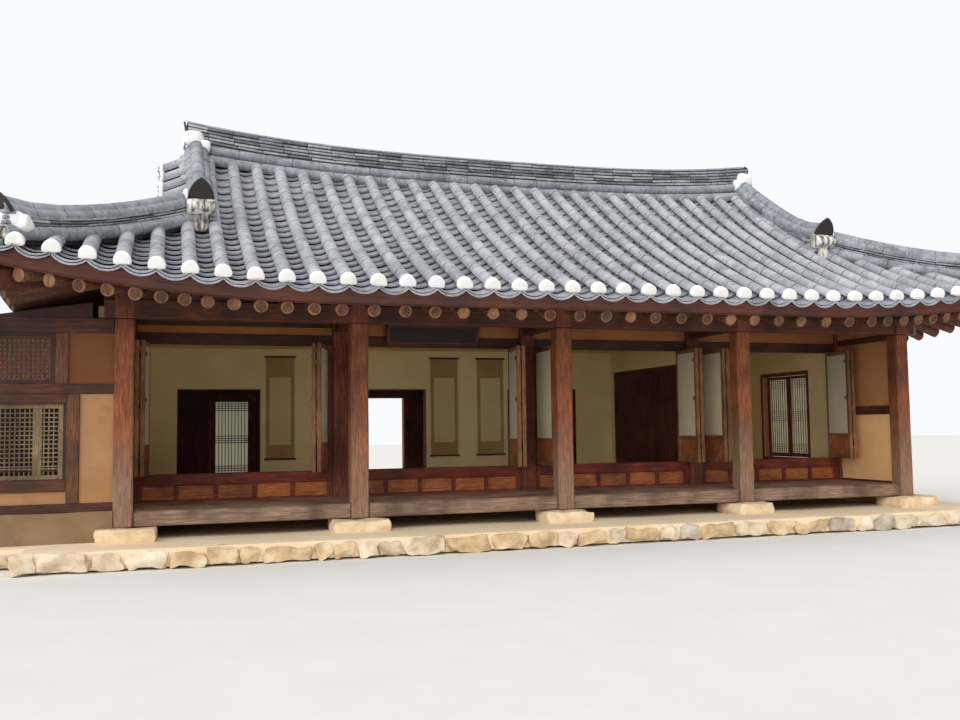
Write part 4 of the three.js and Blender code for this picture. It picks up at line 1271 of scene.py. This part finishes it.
def buildOuterWalls():
    # Posts, a middle rail and a bottom rail over plaster, which is paler in its lower half: painted light
    # below, painted eave shade above.
    for node in ("left_wall", "right_wall", "back_wall", "inner_back_wall", "annex_rear_walls"):
        dressNode(node, ochrePlaster)
    # The annex front wall is dressed near-black: dark wood with painted shade under the deep eave.
    dressNode("annex_front_wall", annexDark)
    pale, rails, posts = [], [], []
    ends = ((0.3, 0.45), (2.3, 2.43))
    for side in (-1, 1):

        def across(a, b, y0, y1, z0, z1):
            x0, x1 = sorted((side * a, side * b))
            return (x0, y0, z0), (x1, y1, z1)

        posts += [across(4.85, 4.9, y - 0.09, y + 0.09, 0.32, 2.5) for y in (1.2, 3.65)]
        rails += [across(4.85, 4.89, 0.1, 4.86, z0, z1) for z0, z1 in ends]
        middle = ((1.29, 1.79), (3.03, 3.56)) if side > 0 else ((1.29, 3.56),)
        for y0, y1 in ((0.1, 1.11), *middle, (3.74, 4.86)):
            rails.append(across(4.85, 4.885, y0, y1, 1.38, 1.49))
        # The veranda's end wall has the same timbers inside.
        for z0, z1 in ((0.43, 0.502), (1.384, 1.5), (2.36, 2.44)):
            rails.append(across(4.72, 4.75, 0.1, 1.1, z0, z1))
        near, far = sorted((side * 4.7375, side * 4.7445))
        pale += sheetWithHoles("x", near, far, 0.1, 1.1, 0.5, 1.386)
        near = min(side * 4.86, side * 4.872)
        pale += sheetWithHoles("x", near, near + 0.006, 0.1, 4.85, 0.44, 1.4, [sideDoor] if side > 0 else ())
    boxPiece("lower_wall_plaster", pale, palePlaster, 0.0)
    boxPiece("side_wall_rails", rails, timberY)
    rails = [((-4.8, 4.99, z0), (4.8, 5.035, z1)) for z0, z1 in ends]
    between = ((-4.7, -3.79), (-3.05, -2.49), (-2.31, -1.76), (-0.64, -0.09), (0.09, 2.31), (2.49, 4.7))
    rails += [((x0, 4.99, 1.38), (x1, 5.03, 1.49)) for x0, x1 in between]
    boxPiece("back_wall_rails", rails, timberX)
    posts += [((x - 0.1, 4.85, 0.32), (x + 0.1, 5.05, 2.5)) for x in (-4.8, 4.8)]
    posts += [((x - 0.09, 4.99, 0.32), (x + 0.09, 5.045, 2.5)) for x in (-2.4, 0.0, 2.4)]
    boxPiece("wall_posts", posts, timberZ, 0.008)
    holes = [(a - doorFrame, b + doorFrame, 0.3, backHead + doorFrame) for a, b in backDoors]
    lower = sheetWithHoles("y", 5.004, 5.01, -4.8, 4.8, 0.44, 1.4, holes)
    boxPiece("back_lower_plaster", lower, palePlaster, 0.0)


def frameDoorway(axis, near, far, u0, u1, z0, z1, width=doorFrame, sill=True):
    low = z0 - width if sill else z0
    parts = [(u0 - width, u0, low, z1 + width), (u1, u1 + width, low, z1 + width), (u0, u1, z1, z1 + width)]
    if sill:
        parts.append((u0, u1, z0 - width, z0))
    return [(*inPlane(axis, near, far, *part), 0.005) for part in parts]


def buildDoorFrames():
    boxes = []

    def lineOpening(a, b, near, far, head, thick, over, bevel):
        # Timber linings inside an opening.
        for x0, x1 in ((a - 0.001, a + thick), (b - thick, b + 0.001)):
            boxes.append(((x0, near, 0.497), (x1, far, over), bevel))
        boxes.append(((a, near, head[0]), (b, far, head[1]), bevel))

    for a, b in innerDoors:
        lineOpening(a, b, 3.59, 3.71, (1.84, 1.8545), 0.012, 1.853, 0.001)
    a, b = backDoors[0]
    lineOpening(a, b, 4.93, 4.95, (1.738, 1.761), 0.022, 1.761, 0.002)
    for a, b in backDoors:
        boxes.extend(frameDoorway("y", 5.0, 5.03, a, b, 0.496, backHead))
        boxes.extend(frameDoorway("y", 4.88, 4.893, a, b, 0.497, backHead, 0.06, False))
    boxes.extend(frameDoorway("x", 4.85, 4.885, *sideDoor))
    boxes.extend(frameDoorway("x", 4.722, 4.742, *sideDoor, 0.05))
    boxPiece("door_frames", boxes, timberDarkZ)


def frameBars(u0, u1, z0, z1, width, foot):
    # The four members of a frame: two stiles and the rails between them.
    inner = (u0 + width, u1 - width)
    stiles = [(u0, u0 + width, z0, z1), (u1 - width, u1, z0, z1)]
    return stiles + [(*inner, z0, z0 + foot), (*inner, z1 - width, z1)]


def latticeLeaf(node, low, high, axis, columns, groups, material, half):
    # A framed leaf with thin bars on the inner side of its paper, in groups across it.
    body = f"{node}_leaf"
    framing = bmesh.new()
    bars = bmesh.new()
    sheet = bmesh.new()
    (x0, y0, z0), (x1, y1, z1) = low, high
    (u0, u1), (near, far) = ((x0, x1), (y0, y1)) if axis == "y" else ((y0, y1), (x0, x1))
    width = 0.045
    for member in frameBars(u0, u1, z0, z1, width, width * 1.3):
        addBox(framing, *inPlane(axis, near, far, *member), 0.003)
    middle = (near + far) / 2
    span = (u0 + width * 0.8, u1 - width * 0.8, z0 + width, z1 - width * 0.8)
    addBox(sheet, *inPlane(axis, middle - 0.0015, middle + 0.0015, *span))
    depth = (middle - 0.014, middle - 0.001)
    for i in range(1, columns + 1):
        u = u0 + width + (u1 - u0 - 2 * width) * i / (columns + 1)
        addBox(bars, *inPlane(axis, *depth, u - half, u + half, z0 + width, z1 - width))
    height = z1 - z0 - 2.3 * width
    for place, count in groups:
        for i in range(count):
            z = z0 + 1.3 * width + place * height + (i - (count - 1) / 2) * 0.034
            addBox(bars, *inPlane(axis, *depth, u0 + width, u1 - width, z - half, z + half))
    makePiece(f"{body}_frame", framing, timberDarkZ, (node,), body)
    makePiece(f"{body}_bars", bars, material, body=body)
    makePiece(f"{body}_paper", sheet, paper, body=body)


def buildHingedDoors():
    low, high = (-3.706, 4.957, 0.502), (-3.132, 4.997, 1.754)
    # Its bars are near-black: painted shade of bars seen against the lit paper.
    latticeLeaf("back_door", low, high, "y", 9, ((0.1, 4), (0.5, 4), (0.93, 4)), darkBars, 0.0055)
    for node, y0, y1 in (("side_door_front", 1.862, 2.4055), ("side_door_rear", 2.4115, 2.955)):
        low, high = (4.811, y0, 0.760), (4.847, y1, 2.007)
        latticeLeaf(node, low, high, "x", 7, ((0.07, 4), (0.5, 5), (0.93, 4)), latticeTimber, 0.003)
    rings = bmesh.new()
    addRing(rings, (-3.18, 4.95, 1.12), 0.03, "X")
    makePiece("back_door_ring", rings, iron, body="back_door_leaf", smooth=True)


def addRing(bm, centre, radius, axis):
    # A pull ring that hangs level with its face, turned about the given axis.
    part = bmesh.new()
    bmesh.ops.create_circle(part, segments=8, radius=0.004)
    bmesh.ops.translate(part, vec=(radius, 0, 0), verts=part.verts)
    bmesh.ops.rotate(part, matrix=Matrix.Rotation(math.radians(90), 3, "X"), verts=part.verts)
    outline = list(part.verts) + list(part.edges)
    bmesh.ops.spin(part, geom=outline, angle=math.tau, steps=16, axis=(0, 0, 1), cent=(0, 0, 0))
    bmesh.ops.remove_doubles(part, verts=part.verts, dist=0.0002)
    bmesh.ops.recalc_face_normals(part, faces=part.faces)
    placeInto(bm, part, Matrix.Translation(centre) @ turned(90, axis))


def carry(bm, matrix):
    for v in bm.verts:
        v.co = matrix @ v.co


# Each pair of leaves is folded back against a column. left and right give the degrees that
# the pairs of the four bays stand turned from square.
folding = {
    "thickness": 0.045,
    "gap": 0.015,
    "length": 0.545,
    "low": 0.79,
    "high": 2.27,
    "panelTop": 1.135,
    "stile": 0.05,
    "left": [-5, 2, 2, 2],
    "right": [18, 8, 2, 6],
}


def buildFoldingDoors():
    thick, gap, length = folding["thickness"], folding["gap"], folding["length"]
    for bay in range(4):
        for side, word in ((1, "right"), (-1, "left")):
            turn = folding[word][bay]
            inset = 0.145 if side > 0 else 0.108 if bay else 0.13
            column = house["columns"][bay] + (2.4 if side > 0 else 0)
            back = (0.16 - inset) * math.sin(math.radians(max(turn, 0)))
            place = Matrix.Translation((column - side * inset, 1.15 - 0.0003 - back, 0))
            matrix = place @ turned(-side * turn, "Z")
            woods, sheets, boards, hinges = (bmesh.new() for part in range(4))
            for leaf in (0, 1):
                x1 = -leaf * (thick + gap)
                x0, x1 = sorted((side * (x1 - thick), side * x1))
                addLeaf(woods, sheets, boards, x0, x1, length)
            for z in (1.0, 1.55, 2.1):
                x0, x1 = sorted((-side * (thick - 0.002), -side * (thick + gap + 0.002)))
                addBox(hinges, (x0, -length + 0.003, z - 0.035), (x1, -length + 0.03, z + 0.035), 0.001)
            outer = -side * (2 * thick + gap + 0.006)
            for z in (2.12, 1.62):
                addRing(hinges, (outer, -length + 0.06, z), 0.022, "Y")
            node = f"folding_doors_{bay + 1}_{word}"
            finishes = (woods, "frames", leafTimber), (sheets, "paper", paper), \
                (boards, "panels", timberPanelZ), (hinges, "iron", iron)
            for bm, name, material in finishes:
                carry(bm, matrix)
                makePiece(f"{node}_{name}", bm, material, (node,) if name == "frames" else ())


def addLeaf(woods, sheets, boards, x0, x1, length):
    z0, z1 = folding["low"], folding["high"]
    middle, stile = folding["panelTop"], folding["stile"]
    for a, b in ((-length, -length + stile), (-stile, 0.0)):
        addBox(woods, (x0, a, z0), (x1, b, z1), 0.004)
    near, far = -length + stile, -stile
    for c, d in ((z0, z0 + 0.07), (middle - 0.045, middle), (z1 - 0.055, z1)):
        addBox(woods, (x0 + 0.001, near, c), (x1 - 0.001, far, d), 0.003)
    addBox(boards, (x0 + 0.012, near, z0 + 0.06), (x1 - 0.012, far, middle - 0.04))
    addBox(boards, (x0 + 0.006, near + 0.05, z0 + 0.11), (x1 - 0.006, far - 0.05, middle - 0.085), 0.004)
    low = (x0 + 0.0015, -length + stile * 0.8, middle - 0.006)
    addBox(sheets, low, (x1 - 0.0015, -stile * 0.55, z1 - 0.045))


def buildPartition():
    boards = []
    y, back = 1.296, 3.4
    while y < back:
        end = min(y + random.uniform(0.16, 0.22), back)
        boards.append(((2.349, y + 0.002, 0.5), (2.3605, end - 0.002, 2.08), 0.003))
        y = end
    for z in (0.55, 1.3, 2.075):
        boards.append(((2.335, 1.296, z - 0.035), (2.352, back, z + 0.035), 0.004))
    boards.append(((2.333, 3.38, 0.5), (2.352, 3.44, 2.11), 0.004))
    boxPiece("partition_boards", boards, boardTimber)
    dressNode("board_partition", boardTimber)
    sheets = [((2.4399, 1.3, 0.5), (2.446, 3.588, wallTop)),
              ((2.346, 1.296, 2.105), (2.3605, 3.588, wallTop)),
              ((2.346, 3.435, 0.5), (2.3605, 3.588, 2.11))]
    boxPiece("partition_paper", sheets, roomPaper, 0.0)


def buildNameBoard():
    face = bmesh.new()
    addBox(face, (-0.56, -0.045, 0.03), (0.56, -0.02, 0.215), 0.003)
    rim = bmesh.new()
    for z in (0.0, 0.208):
        addBox(rim, (-0.59, -0.05, z), (0.59, 0.0, z + 0.035), 0.005)
    for x in (-0.59, 0.555):
        addBox(rim, (x, -0.05, 0.0), (x + 0.035, 0.0, 0.243), 0.005)
    matrix = Matrix.Translation((-1.251, 1.15, 2.316)) @ turned(12, "X")
    carry(face, matrix)
    carry(rim, matrix)
    makePiece("name_board_face", face, blackBoard, ("name_board",))
    makePiece("name_board_rim", rim, boardTimber)


def buildScrolls():
    places = ((-3.04, -2.64), (-0.62, -0.2), (0.11, 0.53))
    rods = bmesh.new()
    for x0, x1 in places:
        for z in (0.86, 2.315):
            woodLog(rods, (x0 - 0.025, 3.572, z), (x1 + 0.025, 3.572, z), 0.013, 10)
    mounts = [((x0, 3.576, 0.87), (x1, 3.581, 2.31)) for x0, x1 in places]
    boxPiece("scroll_mounts", mounts, scrollCloth, 0.0)
    sheets = [((x0 + 0.05, 3.5735, 1.06), (x1 - 0.05, 3.5765, 2.02)) for x0, x1 in places]
    boxPiece("scroll_paper", sheets, scrollPaper, 0.0)
    makePiece("scroll_rods", rods, [boardTimber, boardTimber], smooth=True)
    boxPiece("papered_wall_post", [((-0.17, 3.5765, 0.5), (0.07, 3.588, 2.42))], roomPaper, 0.002)


buildLinings()
buildOuterWalls()
buildDoorFrames()
buildHingedDoors()
buildFoldingDoors()
buildPartition()
buildNameBoard()
buildScrolls()
dressNode("room_floor", floorPaper)
print("walls and doors built")


# The annex under the left eave

annex = {
    "left": -7.255,
    "right": -4.895,
    "window": (-6.760, -5.360, 0.818, 1.560),
    "grille": (-6.550, -5.476, 1.794, 2.236),
    "barPitch": 0.043,
    "bar": 0.013,
    "roofLow": -7.55,
    "roofHigh": -5.995,
    "roofUnder": 2.355,
    "roofSlope": 0.12,
    "depth": 3.6,
}


def buildAnnexWall():
    left, right = annex["left"], annex["right"]
    rails = []
    for x0, x1, depth, z0, z1 in ((left, right, 0.072, 2.268, 2.31), (-5.99, right, 0.072, 2.3, 2.42),
                                  (left, right, 0.078, 1.66, 1.76), (left + 0.1, -5.33, 0.085, 1.562, 1.66),
                                  (left + 0.1, -5.33, 0.085, 0.70, 0.816), (left, right, 0.078, 0.49, 0.58)):
        rails.append(((x0, -depth, z0), (x1, -0.05, z1)))
    boxPiece("annex_rails", rails, annexTimberX)
    posts = []
    for x0, x1, depth, z0, z1 in ((-5.44, -5.32, 0.076, 1.76, 2.27), (-5.33, -5.21, 0.082, 0.58, 1.66),
                                  (left - 0.005, left + 0.15, 0.085, 0.3, 2.3),
                                  (-6.62, -6.555, 0.076, 1.76, 2.27), (-6.83, -6.765, 0.082, 0.7, 1.66)):
        posts.append(((x0, -depth, z0), (x1, -0.04 if z0 == 0.3 else -0.05, z1)))
    boxPiece("annex_posts", posts, annexPost)
    # Both annex plasters carry painted eave shade, the upper one darker.
    pale = sheetWithHoles("y", -0.06, -0.054, left, right, 0.58, 1.66, [(-6.8, -5.33, 0.7, 1.66)])
    boxPiece("annex_lower_plaster", pale, annexLower, 0.0)
    boxPiece("annex_upper_plaster", [((-5.32, -0.056, 1.755), (right, -0.052, 2.275))], annexUpper, 0.0)
    for name, x0, x1, y1 in (("front", left - 0.02, right, -0.05), ("side", left - 0.05, left, 3.66)):
        footing = bmesh.new()
        addBox(footing, (x0, -0.1, 0.19), (x1, y1, 0.492))
        bmesh.ops.subdivide_edges(footing, edges=list(footing.edges), cuts=9, use_grid_fill=True)
        for v in footing.verts:
            v.co += Vector(noise.noise_vector(v.co * 3.5)) * 0.014
        makePiece(f"annex_{name}_footing", footing, clayFooting, smooth=True)


def lattice(name, y, border, material, stile=None, extra=()):
    # A framed lattice in the front wall. stile is a wide upright in it, and extra are levels
    # where a second bar lies close to the first.
    x0, x1, z0, z1 = annex[name]
    x2, x3, z2, z3 = x0 + border, x1 - border, z0 + border, z1 - border
    boxes = [(*inPlane("y", y, 0.0, *bar), 0.004) for bar in frameBars(x0, x1, z0, z1, border, border)]
    if stile:
        boxes.append(((stile[0], y + 0.004, z2), (stile[1], -0.004, z3), 0.004))
    boxPiece(f"annex_{name}_frame", boxes, material, nodes=(f"annex_{name}",))
    half = annex["bar"] / 2
    bars = []
    wide, high = x1 - x0 - 2 * border, z1 - z0 - 2 * border
    count = round(wide / annex["barPitch"])
    for i in range(1, count):
        x = x2 + wide * i / count
        if not (stile and stile[0] - 0.01 < x < stile[1] + 0.01):
            bars.append(((x - half, y + 0.012, z2), (x + half, y + 0.026, z3)))
    count = round(high / annex["barPitch"])
    for z in [z2 + high * i / count for i in range(1, count)] + list(extra):
        bars.append(((x2, y + 0.01, z - half), (x3, y + 0.022, z + half)))
    boxPiece(f"annex_{name}_bars", bars, material, 0.001)


def behind(name, near, far):
    x0, x1, z0, z1 = annex[name]
    return [((x0 + 0.02, near, z0 + 0.02), (x1 - 0.02, far, z1 - 0.02))]


def buildAnnexOpenings():
    lattice("window", -0.06, 0.045, latticeTimber, (-5.638, -5.553), (0.905, 0.925))
    # A near-black sheet behind the window lattice: painted shade of the room inside.
    boxPiece("annex_window_painted_shade", behind("window", 0.012, 0.02), darkShadeFill, 0.0)
    lattice("grille", -0.05, 0.03, boardTimber)
    # The grille paper is darkened as painted shade under the eave.
    boxPiece("annex_grille_paper", behind("grille", -0.02, -0.017), grillePaper, 0.0)


def buildAnnexRoof():
    low, high = annex["roofLow"], annex["roofHigh"]
    top = lambda x: annex["roofUnder"] - annex["roofSlope"] * (high - x) + 0.062
    tiles = bmesh.new()
    mortar = bmesh.new()
    rows = [-0.22]
    while rows[-1] + roof["rowPitch"] < 3.85:
        rows.append(rows[-1] + roof["rowPitch"])
    for i, y in enumerate(rows):
        x = low + 0.03
        while x < high - 0.05:
            end = min(x + roof["coverLength"], high)
            place = frameBetween((x, y, top(x)), (end, y, top(end)), (0, 0, 1), width=0.77)
            stampMesh(tiles, coverTile, place)
            x += roof["coverLength"]
        lumpOf(mortar, (low + 0.035, y, top(low) + 0.02), (0.05, 0.13, 0.09), 40 + i, 0.008)
        x = low + 0.01
        middle = y + roof["rowPitch"] / 2
        while i + 1 < len(rows) and x < high - 0.05:
            end = min(x + roof["courseLength"] + 0.06, high)
            start = (x, middle, top(x) + 0.012)
            stampMesh(tiles, channelTile, frameBetween(start, (end, middle, top(end) - 0.012), (0, 0, 1)))
            x += roof["courseLength"]
    makePiece("annex_roof_tiles", tiles, slopeTile, ("annex_roof",), smooth=True)
    makePiece("annex_tile_end_mortar", mortar, lime, smooth=True)
    bed = bmesh.new()
    addBar(bed, (low + 0.03, 1.8, top(low) - 0.05), (high - 0.002, 1.8, top(high) - 0.05), 4.18, 0.03)
    makePiece("annex_roof_boards", bed, timberX)
    trim = bmesh.new()
    for y in (-0.285, 3.885):
        start, stop = (low + 0.02, y, top(low) - 0.02), (high - 0.004, y, top(high) - 0.02)
        addBar(trim, start, stop, 0.028, 0.085, 0.004)
    addBox(trim, (low, -0.3, top(low) - 0.072), (low + 0.03, 3.9, top(low) - 0.014), 0.004)
    makePiece("annex_roof_edges", trim, timberRed)


def buildAnnexRear():
    left = annex["left"]
    posts = [((left - 0.04, y - 0.08, 0.3), (left + 0.01, y + 0.08, 2.2)) for y in (0.03, 1.8, 3.57)]
    posts += [((x - 0.08, 3.64, 0.3), (x + 0.08, 3.7, 2.24)) for x in (-7.18, -6.02)]
    boxPiece("annex_rear_posts", posts, timberZ)
    levels = ((0.47, 0.58), (1.3, 1.4), (2.06, 2.16))
    rails = [((left - 0.03, 0.0, z0), (left + 0.01, 3.6, z1)) for z0, z1 in levels]
    boxPiece("annex_side_rails", rails, timberY)
    rails = [((left, 3.64, z0), (-4.9, 3.68, z1)) for z0, z1 in ((0.3, 0.42), (1.3, 1.4), (2.1, 2.2))]
    boxPiece("annex_rear_rails", rails, timberX)


buildAnnexWall()
buildAnnexOpenings()
buildAnnexRoof()
buildAnnexRear()
print("annex built")


# The plinth: packed earth held by a kerb of field stones, and the columns' base stones

plinth = {
    "kerbs": [("x", -5.73, 5.73, -0.84), ("x", -5.73, 5.73, 5.79), ("y", -0.72, 5.66, 5.64),
              ("y", 4.1, 5.66, -5.64), ("y", -0.72, -0.46, -5.64), ("x", -7.63, -5.76, -0.36),
              ("x", -7.63, -5.76, 3.94), ("y", -0.24, 3.82, -7.54)],
    "earth": [(-5.65, 5.65, -0.85, 5.8), (-7.54, -5.6, -0.345, 3.95)],
    "footWidths": (0.62, 0.66, 0.58, 0.52, 0.68),
    "footShifts": (0.03, 0.0, -0.02, 0.01, 0.05),
}


def fieldStone(bm, centre, size, seed, rough, slot=0):
    # A boulder that fills its own place: no part of it leaves the given size.
    part = bmesh.new()
    bmesh.ops.create_cube(part, size=1.0)
    bmesh.ops.subdivide_edges(part, edges=list(part.edges), cuts=6, use_grid_fill=True)
    shift = Vector((seed * 3.1, seed * 1.7, seed))
    for v in part.verts:
        soft = v.co.lerp(v.co.normalized() * 0.6, 0.3)
        v.co = Vector([c * s for c, s in zip(soft, size)])
        v.co += Vector(noise.noise_vector(v.co * 5 + shift)) * rough * 2
        v.co += Vector(noise.noise_vector(v.co * 15 + shift)) * rough * 0.4
    for i in range(3):
        low = min(v.co[i] for v in part.verts)
        high = max(v.co[i] for v in part.verts)
        for v in part.verts:
            v.co[i] = ((v.co[i] - low) / (high - low) - 0.5) * size[i]
    for face in part.faces:
        face.material_index = slot
    placeInto(bm, part, Matrix.Translation(centre))


def buildPlinth():
    packed = bmesh.new()
    for x0, x1, y0, y1 in plinth["earth"]:
        part = bmesh.new()
        bmesh.ops.create_grid(part, x_segments=60, y_segments=36, size=0.5)
        for v in part.verts:
            v.co.x = x0 + (v.co.x + 0.5) * (x1 - x0)
            v.co.y = y0 + (v.co.y + 0.5) * (y1 - y0)
            v.co.z = 0.19 + noise.noise(v.co * 1.3) * 0.012
        under = vertsOf(bmesh.ops.extrude_face_region(part, geom=list(part.faces))["geom"])
        bmesh.ops.translate(part, vec=(0, 0, -0.17), verts=under)
        bmesh.ops.recalc_face_normals(part, faces=part.faces)
        placeInto(packed, part, Matrix.Identity(4))
    makePiece("plinth_earth", packed, earth, ("plinth",), smooth=True)
    stones = bmesh.new()
    seed = 1
    for axis, at, stop, line in plinth["kerbs"]:
        while at < stop - 0.1:
            length = random.uniform(0.18, 0.54)
            if stop - at - length < 0.16:
                length = stop - at
            depth = random.uniform(0.17, 0.21)
            height = random.uniform(0.168, 0.2)
            middle = at + length / 2
            across = line + random.uniform(-0.008, 0.008)
            z = height / 2 + 0.002
            size, centre = (length + 0.004, depth, height), (middle, across, z)
            if axis == "y":
                size, centre = (depth, length + 0.004, height), (across, middle, z)
            fieldStone(stones, centre, size, seed, 0.035, random.choice((0, 0, 0, 0, 1, 1, 2)))
            seed += 1
            at += length
    makePiece("plinth_stones", stones, [stone, warmStone, greyStone], smooth=True)
    feet = bmesh.new()
    for i, (x, width, shift) in enumerate(zip(house["columns"], plinth["footWidths"], plinth["footShifts"])):
        part = bmesh.new()
        fieldStone(part, (x + shift, 0.0, 0.235), (width * 1.02, 0.56, 0.2), 50 + i, 0.02)
        # The stone's top is worn level, and it stays clear of its neighbours.
        low, high = (x - 0.33, -0.33, 0.12), (x + 0.33, 0.33, house["foot"])
        for v in part.verts:
            v.co = Vector([min(max(c, l), h) for c, l, h in zip(v.co, low, high)])
        placeInto(feet, part, Matrix.Identity(4))
    makePiece("column_base_stones", feet, footStone, smooth=True)


buildPlinth()
print("plinth built")


# Light and floor

studio = {
    "backdrop": "fafbfd",
    "fill": 0.62,
    "skyStrength": 2.85,
    "skySpread": 95,  # degrees: a wide, soft source
    "skyTurn": -50,
    "skyTilt": 48,
}


def addLight():
    # A pale backdrop, a weak even fill and one broad soft light from the upper left front.
    world = bpy.data.worlds.new("studio")
    world.use_nodes = True
    tree = world.node_tree
    back = tree.nodes["Background"]
    back.inputs["Color"].default_value = toLinear(studio["backdrop"])
    seen = addNode(tree, "ShaderNodeLightPath")
    strength = addNode(tree, "ShaderNodeMapRange", {"To Min": studio["fill"], "To Max": 1.0},
                       {"Value": seen.outputs["Is Camera Ray"]})
    tree.links.new(strength.outputs[0], back.inputs["Strength"])
    bpy.context.scene.world = world
    data = bpy.data.lights.new("soft sky", "SUN")
    data.energy = studio["skyStrength"]
    data.angle = math.radians(studio["skySpread"])
    light = bpy.data.objects.new("soft sky", data)
    turn = Matrix.Rotation(math.radians(studio["skyTurn"]), 4, "Z")
    light.matrix_world = turn @ Matrix.Rotation(math.radians(studio["skyTilt"]), 4, "X")
    bpy.context.scene.collection.objects.link(light)


def addFloor():
    bm = bmesh.new()
    bmesh.ops.create_grid(bm, x_segments=1, y_segments=1, size=60)
    mesh = bpy.data.meshes.new("floor")
    bm.to_mesh(mesh)
    bm.free()
    mesh.materials.append(limedPlaster("studio floor", "dedbd6", "e2dfda"))
    floor = bpy.data.objects.new("floor", mesh)
    bpy.context.scene.collection.objects.link(floor)


addLight()
addFloor()
bpy.context.scene.view_settings.view_transform = "Standard"
